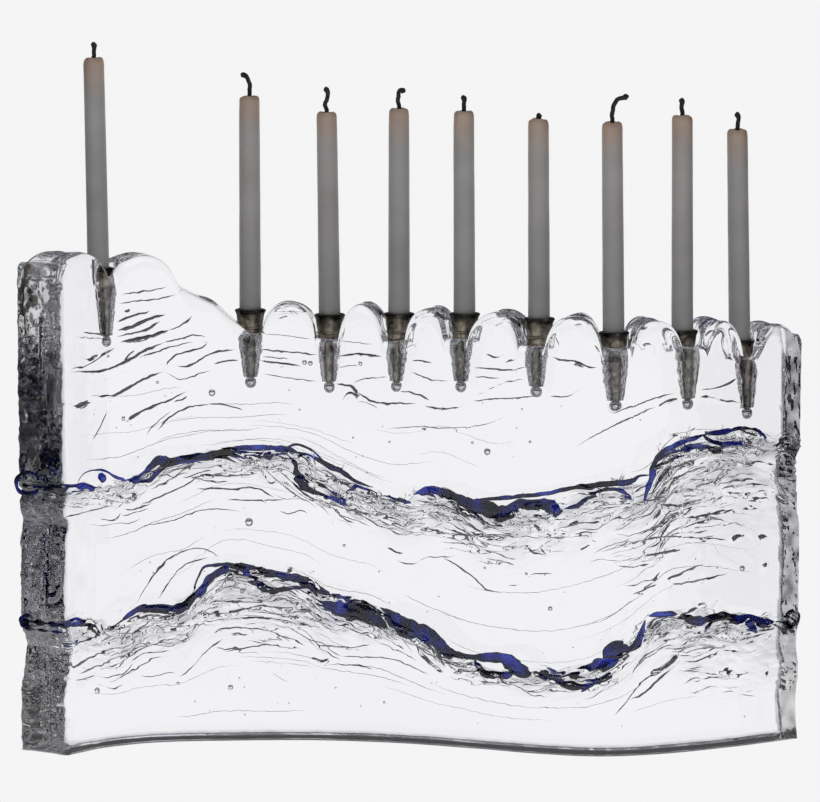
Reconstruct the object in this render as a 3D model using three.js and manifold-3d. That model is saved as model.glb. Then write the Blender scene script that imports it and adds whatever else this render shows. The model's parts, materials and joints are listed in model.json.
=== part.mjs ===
// Free-standing menorah: an S-shaped slab of clear glass cast in three courses, with cobalt glass
// threads laid between them. Nine turned metal candle cups drop into tapered sockets along its
// scalloped top edge, and each holds one slim candle with a wick. The shamash stands at the left,
// on a raised shoulder. Millimetres, +Z up, +X along the slab, and the front faces -Y. The origin
// is on the ground, at the centre of the object's bounding box.
import * as THREE from "three";
import { mergeVertices } from "three/addons/utils/BufferGeometryUtils.js";
import Module from "manifold-3d";

const wasm = await Module();
wasm.setup();

// ---- driving dimensions ----

const GAP = 0.3; // between pieces that touch

// The slab in plan: its centre line, and its thickness across that line.
const SLAB_THICKNESS = 24;
const SLAB_PLAN = [
  [-151, 8], [-134, 27], [-111, 40], [-75, 45], [-38, 45.5], [0, 39],
  [30, 28], [57, 17], [78, 12.5], [99, 16.5], [128, 30.5], [156.5, 48.2],
];
const LEFT_SKEW = 2; // how far the left end's back corner stands out, and its front corner back
const SLAB_STEPS = 96; // mesh steps along the slab
const THICKNESS_STEPS = 4; // and across it

// Where the courses meet: height above the ground, along X.
const UPPER_JOINT = [
  [-165, 111.5], [-120, 110.5], [-100, 118.5], [-62, 122], [-45, 119.5], [-25, 109.5], [-2, 101],
  [15, 105], [36, 97], [58, 104], [80, 111], [97, 115.5], [107, 127.5], [127, 131], [146, 128.5],
  [165, 119.5],
];
const LOWER_JOINT = [
  [-165, 52.5], [-142, 54.5], [-127, 50.5], [-111, 57], [-95, 59], [-86, 67.5], [-76, 72.5],
  [-62, 71], [-45, 68], [-32, 60.5], [-17, 57], [0, 49.5], [20, 38.5], [36, 34.5], [55, 32.5],
  [77, 37], [90, 46], [98, 54.5], [108, 58], [127, 55.5], [143, 51], [165, 47.5],
];

// The top edge: the raised shoulder round the shamash, the half-elliptical lobes between the other
// cups, and the lobe at the right end.
const SHOULDER = [
  [-153, 192.5], [-148, 203.5], [-140, 206], [-133.5, 203.5], [-128, 194.5], [-121, 201.5],
  [-109, 203], [-101, 199], [-95, 189.5], [-91, 187], [-82, 183], [-74.6, 176.5], [-66.2, 171],
];
const LOBE_TOPS = [182.5, 182.5, 181.5, 181.5, 181, 179.5, 178];
const VALLEY_HALF_WIDTH = 5; // of the flat foot between two lobes
const RIGHT_LOBE = [[136.2, 161], [141, 171], [147, 174.5], [152, 172.5], [157, 163]];
const TOP_CROWN = 3; // the top edge is this much lower at the slab's faces than along its middle

// Each seat: place along X, height of the glass there, height of the socket's mouth, lean of its
// axis to the right in degrees, candle length above the cup, and the wick's line from the candle's
// top, as [sideways, up] points.
const SEATS = [
  { x: -128, glass: 194.5, seat: 190.2, lean: -0.8, shows: 86.8, wick: [[0.3, 3], [0, 6]] },
  { x: -66.2, glass: 171, seat: 171.6, lean: 0, shows: 88.8, wick: [[0.2, 3.5], [-0.8, 7], [-3.4, 9]] },
  { x: -33.2, glass: 168.5, seat: 169.6, lean: -0.7, shows: 84.2, wick: [[-0.6, 3], [0.6, 6], [-0.2, 10]] },
  { x: -4.5, glass: 168, seat: 170.6, lean: 0, shows: 85.2, wick: [[-0.4, 3.5], [0.6, 6.9], [2.7, 6.3]] },
  { x: 22.5, glass: 170, seat: 171.6, lean: -0.3, shows: 83.7, wick: [[0.2, 3], [-0.2, 6]] },
  { x: 52.9, glass: 168.5, seat: 171, lean: -0.4, shows: 81.9, wick: [[0.2, 1], [0.3, 2]] },
  { x: 83.2, glass: 168, seat: 165.9, lean: -0.7, shows: 86.2, wick: [[0.2, 4], [1.8, 8.2], [6.8, 10]] },
  { x: 111.7, glass: 168, seat: 165.6, lean: -0.4, shows: 88.6, wick: [[-0.3, 3.4], [0, 6.6]] },
  { x: 136.2, glass: 162, seat: 159.9, lean: -1.1, shows: 87.6, wick: [[0.5, 3], [0, 6.6]] },
];

// Candle cup: a thin-walled cup with a flared lip on a solid tapered shank, which hangs in its
// tapered socket. Heights are from the socket's mouth.
const CUP_SIDES = 14;
const CUP_BORE_R = 4.7;
const CUP_FLOOR_Z = -2;
const CUP_LIP_R = 6.5;
const CUP_LIP_Z = 8.2;
const CUP_MOUTH_R = 5.5; // outside, at the socket's mouth
const CUP_NECK_R = 5.1; // outside, at the cup's underside
const CUP_NECK_Z = -2.6;
const CUP_SHANK_R = 3.5; // where the shank leaves the underside
const CUP_SHANK_Z = -4.4;
const CUP_TIP_R = 2.1;
const CUP_TIP_Z = -19.8;
const SOCKET_END_Z = -24.4; // an air space is left under the shank's tip
const SOCKET_TIP_R = 2.8; // the socket is wider than the shank, and holds the cup by its underside
const SOCKET_DISH_R = 7.5; // clear round the lip, so that the cup lifts out
const SOCKET_DISH_TOP_Z = 40; // above the glass everywhere

const CANDLE_SIDES = 12;
const CANDLE_BASE_R = 4.4;
const CANDLE_TOP_R = 3.95;
const WICK_R = 0.75;
const WICK_HOLE_R = 1.15;
const WICK_HOLE_DEPTH = 3.5;

// Cobalt threads: each is one strand down the slab's front half that loops out of an end and comes
// back along the back half.
const THREAD_R = 1.5;
const THREAD_SIDES = 6;
const THREAD_STEP = 7;
const THREAD_DEPTH = 5; // from the middle of the thickness to each strand
const THREAD_WANDER = 1.6;
const THREAD_LIFT = 0.8; // over the course that it lies on
const THREAD_HEIGHT = THREAD_LIFT + THREAD_R; // from that course to the thread's middle
const END_LOOP = 4.5; // how far a loop stands out of the slab's end
const FRONT = -1;
const BACK = 1;

// ---- materials ----

function finish(color, roughness, metalness) {
  return new THREE.MeshStandardMaterial({ color, roughness, metalness });
}

const clearGlass = () => finish(0xe9e9f4, 0.08, 0);
const cobaltGlass = () => finish(0x10176e, 0.08, 0);
const agedMetal = () => finish(0x8c8270, 0.38, 1);
const wax = () => finish(0x8f8a84, 0.6, 0);
const charredCotton = () => finish(0x1c1917, 0.95, 0);

// ---- curves and heights ----

const plan = new THREE.CatmullRomCurve3(SLAB_PLAN.map(([x, y]) => new THREE.Vector3(x, y, 0)));

// Height of a smooth profile through [x, z] points.
function heightAt(profile, x) {
  const last = profile.length - 2;
  const next = profile.findIndex((point) => point[0] > x) - 1;
  const i = THREE.MathUtils.clamp(next < -1 ? last : next, 0, last);
  const slope = (j) => {
    const a = profile[Math.max(j - 1, 0)];
    const b = profile[Math.min(j + 1, last + 1)];
    return (b[1] - a[1]) / (b[0] - a[0]);
  };
  const span = profile[i + 1][0] - profile[i][0];
  const f = THREE.MathUtils.clamp((x - profile[i][0]) / span, 0, 1);
  const rise = profile[i + 1][1] - profile[i][1];
  const bend = (slope(i) * span - rise) * (1 - f) - (slope(i + 1) * span - rise) * f;
  return profile[i][1] + f * rise + f * (1 - f) * bend;
}

// Height of the top edge along the middle of the slab.
function topHeight(x) {
  const next = SEATS.findIndex((seat) => seat.x > x);
  if (next === -1) return heightAt(RIGHT_LOBE, x);
  if (next < 2) return heightAt(SHOULDER, x);
  const [a, b] = [SEATS[next - 1], SEATS[next]];
  const valley = THREE.MathUtils.mapLinear(x, a.x, b.x, a.glass, b.glass);
  const [start, end] = [a.x + VALLEY_HALF_WIDTH, b.x - VALLEY_HALF_WIDTH];
  const f = THREE.MathUtils.clamp((x - start) / (end - start), 0, 1);
  return valley + (LOBE_TOPS[next - 2] - valley) * Math.sqrt(1 - (1 - 2 * f) ** 2);
}

// A place in the slab: u runs 0 to 1 along it, across runs -1 at the front face to 1 at the back.
function slabPoint(u, across, z) {
  const tangent = plan.getTangentAt(u);
  const normal = new THREE.Vector3(-tangent.y, tangent.x, 0);
  const skew = -LEFT_SKEW * across * Math.max(1 - 2 * u, 0) ** 9;
  return plan
    .getPointAt(u)
    .addScaledVector(normal, (across * SLAB_THICKNESS) / 2)
    .addScaledVector(tangent, skew)
    .setZ(z);
}

// Where along the slab its centre line reaches x.
function slabStation(x) {
  let [low, high] = [0, 1];
  for (let i = 0; i < 30; i++) {
    const middle = (low + high) / 2;
    if (plan.getPointAt(middle).x < x) low = middle;
    else high = middle;
  }
  return low;
}

// ---- solids ----

function solid(geometry) {
  geometry.deleteAttribute("normal");
  geometry.deleteAttribute("uv");
  const merged = mergeVertices(geometry, 1e-4);
  return new wasm.Manifold(
    new wasm.Mesh({
      numProp: 3,
      vertProperties: merged.attributes.position.array,
      triVerts: new Uint32Array(merged.index.array),
    }),
  );
}

function geometryOf(manifold) {
  const mesh = manifold.getMesh();
  return new THREE.BufferGeometry()
    .setAttribute("position", new THREE.BufferAttribute(mesh.vertProperties, 3))
    .setIndex(new THREE.BufferAttribute(mesh.triVerts, 1));
}

function mesh(name, geometry, material) {
  geometry.computeVertexNormals();
  const made = new THREE.Mesh(geometry, material);
  made.name = name;
  return made;
}

// One course of the slab, between two surfaces given as height(x, across).
function course(lower, upper) {
  const block = new THREE.BoxGeometry(1, 1, 1, SLAB_STEPS, THICKNESS_STEPS, 1);
  const position = block.attributes.position;
  for (let i = 0; i < position.count; i++) {
    const u = THREE.MathUtils.clamp(position.getX(i) + 0.5, 0, 1);
    const across = 2 * position.getY(i);
    const x = plan.getPointAt(u).x;
    const z = THREE.MathUtils.lerp(lower(x, across), upper(x, across), position.getZ(i) + 0.5);
    const point = slabPoint(u, across, z);
    position.setXYZ(i, point.x, point.y, point.z);
  }
  return solid(block);
}

function lathe(outline, sides) {
  return new THREE.LatheGeometry(outline.map(([r, z]) => new THREE.Vector2(r, z)), sides).rotateX(
    Math.PI / 2,
  );
}

function tube(points, radius, sides, steps) {
  const corners = Array.from({ length: sides }, (_, i) => {
    const turn = (2 * Math.PI * i) / sides;
    return new THREE.Vector2(radius * Math.cos(turn), radius * Math.sin(turn));
  });
  return new THREE.ExtrudeGeometry(new THREE.Shape(corners), {
    steps,
    extrudePath: new THREE.CatmullRomCurve3(points),
    bevelEnabled: false,
  });
}

// ---- cobalt threads ----

// One strand between two places along X, lying on the joint between two courses.
function strand(joint, side, from, to) {
  const [start, end] = [slabStation(from), slabStation(to)];
  const count = Math.round(Math.abs(to - from) / THREAD_STEP);
  return Array.from({ length: count + 1 }, (_, i) => {
    const u = THREE.MathUtils.lerp(start, end, i / count);
    const x = plan.getPointAt(u).x;
    const depth = side * THREAD_DEPTH + THREAD_WANDER * Math.sin(x / 14);
    const rise = (heightAt(joint, x + 2) - heightAt(joint, x - 2)) / 4;
    const slope = Math.atan(rise * plan.getTangentAt(u).x);
    const z = heightAt(joint, x) + THREAD_HEIGHT * Math.cos(slope);
    const uphill = plan.getTangentAt(u).multiplyScalar(-THREAD_HEIGHT * Math.sin(slope));
    return slabPoint(u, depth / (SLAB_THICKNESS / 2), z).add(uphill);
  });
}

// The loop outside an end of the slab, from one strand to the other.
function endLoop(joint, u, firstSide) {
  const outward = plan.getTangentAt(u).multiplyScalar(u === 0 ? -1 : 1);
  const z = heightAt(joint, plan.getPointAt(u).x) + THREAD_HEIGHT;
  return [0.75, 0, -0.75].map((side) => {
    const across = (firstSide * side * THREAD_DEPTH) / (SLAB_THICKNESS / 2);
    const reach = END_LOOP * (1 - 0.5 * side * side);
    return slabPoint(u, across, z + reach * 0.3).addScaledVector(outward, reach);
  });
}

function threadTube(points, radius) {
  return tube(points, radius, THREAD_SIDES, Math.round(1.15 * points.length));
}

// The space that the next course leaves round a thread, a little longer than the thread itself.
function threadSpace(points) {
  const longer = points.map((point) => point.clone());
  longer[0].lerp(points[1], -GAP);
  longer.at(-1).lerp(points.at(-2), -GAP);
  return solid(threadTube(longer, THREAD_R + 2 * GAP));
}

const upperThread = [
  ...strand(UPPER_JOINT, FRONT, 140, -149),
  ...endLoop(UPPER_JOINT, 0, FRONT),
  ...strand(UPPER_JOINT, BACK, -149, 60),
];
const lowerThread = [
  ...strand(LOWER_JOINT, BACK, 30, 151),
  ...endLoop(LOWER_JOINT, 1, BACK),
  ...strand(LOWER_JOINT, FRONT, 151, -149),
  ...endLoop(LOWER_JOINT, 0, FRONT),
  ...strand(LOWER_JOINT, BACK, -149, 0),
];

// ---- seats, cups, candles ----

function seatGroup(seat) {
  const group = new THREE.Group();
  const point = slabPoint(slabStation(seat.x), 0, seat.seat);
  group.position.copy(point);
  group.rotation.y = THREE.MathUtils.degToRad(seat.lean);
  group.updateMatrixWorld(true);
  return group;
}

// The shape that a seat removes from the glass: the tapered socket, and the dish round the lip.
function socketSpace(seat) {
  const outline = [
    [0, SOCKET_END_Z],
    [1.6, SOCKET_END_Z + 0.5],
    [SOCKET_TIP_R, SOCKET_END_Z + 2],
    [SOCKET_TIP_R, CUP_TIP_Z],
    [CUP_NECK_R + GAP, CUP_NECK_Z],
    [CUP_MOUTH_R + GAP, 0],
    [SOCKET_DISH_R, 2],
    [SOCKET_DISH_R, SOCKET_DISH_TOP_Z],
    [0, SOCKET_DISH_TOP_Z],
  ];
  return solid(lathe(outline, CUP_SIDES).applyMatrix4(seatGroup(seat).matrixWorld));
}

function cup() {
  return lathe(
    [
      [0, CUP_TIP_Z],
      [CUP_TIP_R, CUP_TIP_Z],
      [CUP_SHANK_R, CUP_SHANK_Z],
      [CUP_NECK_R, CUP_NECK_Z],
      [CUP_MOUTH_R, 0],
      [CUP_MOUTH_R + 0.2, CUP_LIP_Z - 5],
      [CUP_LIP_R, CUP_LIP_Z - 1.2],
      [CUP_LIP_R, CUP_LIP_Z],
      [CUP_BORE_R + 0.4, CUP_LIP_Z],
      [CUP_BORE_R, CUP_LIP_Z - 1],
      [CUP_BORE_R, CUP_FLOOR_Z],
      [0, CUP_FLOOR_Z],
    ],
    CUP_SIDES,
  );
}

function candle(top) {
  return lathe(
    [
      [0, CUP_FLOOR_Z + GAP],
      [CANDLE_BASE_R, CUP_FLOOR_Z + GAP],
      [CANDLE_TOP_R, top - 1.6],
      [CANDLE_TOP_R - 1, top],
      [WICK_HOLE_R, top - 0.8],
      [WICK_HOLE_R, top - WICK_HOLE_DEPTH],
      [0, top - WICK_HOLE_DEPTH],
    ],
    CANDLE_SIDES,
  );
}

function wick(line, top) {
  const foot = top - WICK_HOLE_DEPTH + GAP;
  const points = [new THREE.Vector3(0, 0, foot), new THREE.Vector3(0, 0, top)];
  points.push(...line.map(([side, up]) => new THREE.Vector3(side, 0, top + up)));
  return tube(points, WICK_R, 6, 2 * line.length + 2);
}

// ---- the object ----

function glassCourses(root) {
  const top = (x, across) => topHeight(x) - TOP_CROWN * across ** 4;
  const joint = (profile, offset) => (x) => heightAt(profile, x) + offset;
  const sockets = wasm.Manifold.union(SEATS.map(socketSpace));
  const lower = course(() => 0, joint(LOWER_JOINT, -GAP / 2));
  const middle = course(joint(LOWER_JOINT, GAP / 2), joint(UPPER_JOINT, -GAP / 2));
  const upper = course(joint(UPPER_JOINT, GAP / 2), top);
  const threadedMiddle = middle.subtract(threadSpace(lowerThread));
  const threadedUpper = upper.subtract(threadSpace(upperThread)).subtract(sockets);
  root.add(mesh("glass_lower_course", geometryOf(lower), clearGlass()));
  root.add(mesh("glass_middle_course", geometryOf(threadedMiddle), clearGlass()));
  root.add(mesh("glass_upper_course", geometryOf(threadedUpper), clearGlass()));
}

function cobaltThreads(root) {
  root.add(mesh("cobalt_thread_lower", threadTube(lowerThread, THREAD_R), cobaltGlass()));
  root.add(mesh("cobalt_thread_upper", threadTube(upperThread, THREAD_R), cobaltGlass()));
}

function lights(root) {
  SEATS.forEach((seat, i) => {
    const name = i === 0 ? "shamash" : `light_${i}`;
    const top = CUP_LIP_Z + seat.shows;
    const group = seatGroup(seat);
    group.add(mesh(`${name}_cup`, cup(), agedMetal()));
    group.add(mesh(`${name}_candle`, candle(top), wax()));
    group.add(mesh(`${name}_wick`, wick(seat.wick, top), charredCotton()));
    root.add(group);
  });
}

const menorah = new THREE.Group();
glassCourses(menorah);
cobaltThreads(menorah);
lights(menorah);
menorah.updateMatrixWorld(true);
const middle = new THREE.Box3().setFromObject(menorah).getCenter(new THREE.Vector3());
menorah.position.set(-middle.x, -middle.y, 0);

export default menorah;
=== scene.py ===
"""The looks of a cast-glass menorah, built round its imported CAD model.

One clear casting with folds and bubbles of trapped air stands for the three CAD courses, cobalt
trails stand for the two threads, and smooth turned cups, waxy candles and braided wicks stand for
the faceted ones. Lengths are in millimetres in the slab's own space until a mesh is made:
s runs along the slab's centre line, d from the middle of its thickness towards the back, and z up.
"""

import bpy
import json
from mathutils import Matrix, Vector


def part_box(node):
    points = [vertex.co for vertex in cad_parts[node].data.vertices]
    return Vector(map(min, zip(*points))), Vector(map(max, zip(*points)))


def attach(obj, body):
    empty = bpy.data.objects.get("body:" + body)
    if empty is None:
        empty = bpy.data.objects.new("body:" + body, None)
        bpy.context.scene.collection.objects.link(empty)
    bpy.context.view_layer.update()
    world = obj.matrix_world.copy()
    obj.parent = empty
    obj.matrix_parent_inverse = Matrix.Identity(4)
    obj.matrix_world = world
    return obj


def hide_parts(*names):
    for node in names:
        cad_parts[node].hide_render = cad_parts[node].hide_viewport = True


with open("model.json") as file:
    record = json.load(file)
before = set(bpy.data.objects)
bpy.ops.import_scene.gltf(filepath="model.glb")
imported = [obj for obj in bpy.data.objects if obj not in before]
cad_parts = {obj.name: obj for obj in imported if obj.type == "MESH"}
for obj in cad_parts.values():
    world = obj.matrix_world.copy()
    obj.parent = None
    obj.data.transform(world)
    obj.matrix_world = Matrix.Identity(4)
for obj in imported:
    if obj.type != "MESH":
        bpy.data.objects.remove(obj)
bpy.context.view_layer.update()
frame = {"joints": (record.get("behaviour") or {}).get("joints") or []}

import json
import math
import random
from itertools import product

import bpy
import numpy as np
from mathutils import Vector

MM = 0.001
DRAW = random.Random(5785)

# ---- the slab: the CAD model's own plan, joints and top edge, which part.mjs holds too ----
# The shoulder is 1 mm higher at the shamash than the CAD's, and the rest is the same.

THICKNESS = 24.0
HALF = THICKNESS / 2
SLAB_PLAN = [
    (-151, 8), (-134, 27), (-111, 40), (-75, 45), (-38, 45.5), (0, 39),
    (30, 28), (57, 17), (78, 12.5), (99, 16.5), (128, 30.5), (156.5, 48.2),
]
LEFT_SKEW = 2.0
UPPER_JOINT = [
    (-165, 111.5), (-120, 110.5), (-100, 118.5), (-62, 122), (-45, 119.5), (-25, 109.5), (-2, 101),
    (15, 105), (36, 97), (58, 104), (80, 111), (97, 115.5), (107, 127.5), (127, 131), (146, 128.5),
    (165, 119.5),
]
LOWER_JOINT = [
    (-165, 52.5), (-142, 54.5), (-127, 50.5), (-111, 57), (-95, 59), (-86, 67.5), (-76, 72.5),
    (-62, 71), (-45, 68), (-32, 60.5), (-17, 57), (0, 49.5), (20, 38.5), (36, 34.5), (55, 32.5),
    (77, 37), (90, 46), (98, 54.5), (108, 58), (127, 55.5), (143, 51), (165, 47.5),
]
SHOULDER = [
    (-153, 192.5), (-148, 203.5), (-140, 206), (-133.5, 203.5), (-128, 195.5), (-121, 201.5),
    (-109, 203), (-101, 199), (-95, 189.5), (-91, 187), (-82, 183), (-74.6, 176.5), (-66.2, 171),
]
RIGHT_LOBE = [(136.2, 161), (141, 171), (147, 174.5), (152, 172.5), (157, 163)]
LOBE_TOPS = [182.5, 182.5, 181.5, 181.5, 181, 179.5, 178]
VALLEY_HEIGHTS = [171, 168.5, 168, 170, 168.5, 168, 168, 162]
VALLEY_HALF_WIDTH = 5

# ---- the casting's fine shape ----

TOP_EDGE_R = 5.0
FOOT_EDGE_R = 1.1
# Painted shade along the foot's ground edge.
FOOT_SHADE = 0.6  # how dark the ground edge of the foot is
CORNER_R = 1.6
INSET_REACH = 5.0  # how far along the slab an end's inset dies away
SHOULDER_R = 4.0
NOTCH_DEPTH = 0.5  # how far a valley dips at the slab's faces
NOTCH_WIDTH = 4.0
SKIN_STEP = 0.8  # mesh pitch along the faces
GRID_HEIGHT = 200  # of the mesh grid, before it is fitted under the top edge
RIM_BAND = 6  # height of its finer bands, at the foot and under the top edge

# How far each end stands back from the CAD end, by height.
LEFT_INSET = [
    (0, 0.3), (25, 0.4), (36, 3), (44, 4.2), (49, 2.6), (56, 0.6), (75, 0.7), (90, 1.2), (96, 2.8),
    (99, 1), (104, 0.6), (108, 2.2), (113, 0.5), (125, 0.2), (205, 0.2),
]
RIGHT_INSET = [
    (0, 0.2), (16, 1.6), (27, 0.3), (32, 0.3), (38, 1.4), (44, 1.5), (49, 0.5), (92, 0.5), (96, 1.8),
    (102, 2), (108, 2.8), (118, 2.8), (122, 0.6), (128, 0.2), (205, 0.2),
]

# How much painted shade darkens the glass at each end, by height.
LEFT_SHADE = [(0, 0.55), (14, 0.3), (22, 0), (50, 0), (60, 0.6), (100, 0.65), (110, 0.9), (166, 0.95),
              (174, 0.6), (205, 0.55)]
RIGHT_SHADE = [(0, 0.68), (50, 0.72), (60, 0.82), (102, 0.85), (112, 0.94), (205, 0.94)]
# The right end's painted shade reaches this far along the faces.
RIGHT_REACH = 9.9  # how far along the faces the right end is seen through them

# ---- lights ----

LIGHTS = ["shamash"] + [f"light_{i}" for i in range(1, 9)]
LIP_Z = 8.2
LIP_R = 6.5
TIP_Z = -19.8
BORE_R = 4.7
FLOOR_Z = -2.0
CANDLE_R = 4.5
CANDLE_TAPER = 0.28  # narrower by this at the top
CANDLE_FOOT_R = 4.32  # inside the cup
# Each wick's line from the top of its candle: sideways, up.
WICKS = [
    [(0.3, 3), (0, 6)],
    [(0.2, 3.5), (-0.8, 7), (-3.4, 9)],
    [(-0.6, 3), (0.6, 6), (-0.2, 10)],
    [(-0.4, 3.5), (0.6, 6.9), (2.7, 6.3)],
    [(0.2, 3), (-0.2, 6)],
    [(0.2, 1), (0.3, 2)],
    [(0.2, 4), (1.8, 8.2), (6.8, 10)],
    [(-0.3, 3.4), (0, 6.6)],
    [(0.5, 3), (0, 6.6)],
]
WICK_R = 1.0
WICK_FOOT = -3.2  # below the candle's top

# ---- air folds inside the glass ----

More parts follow.
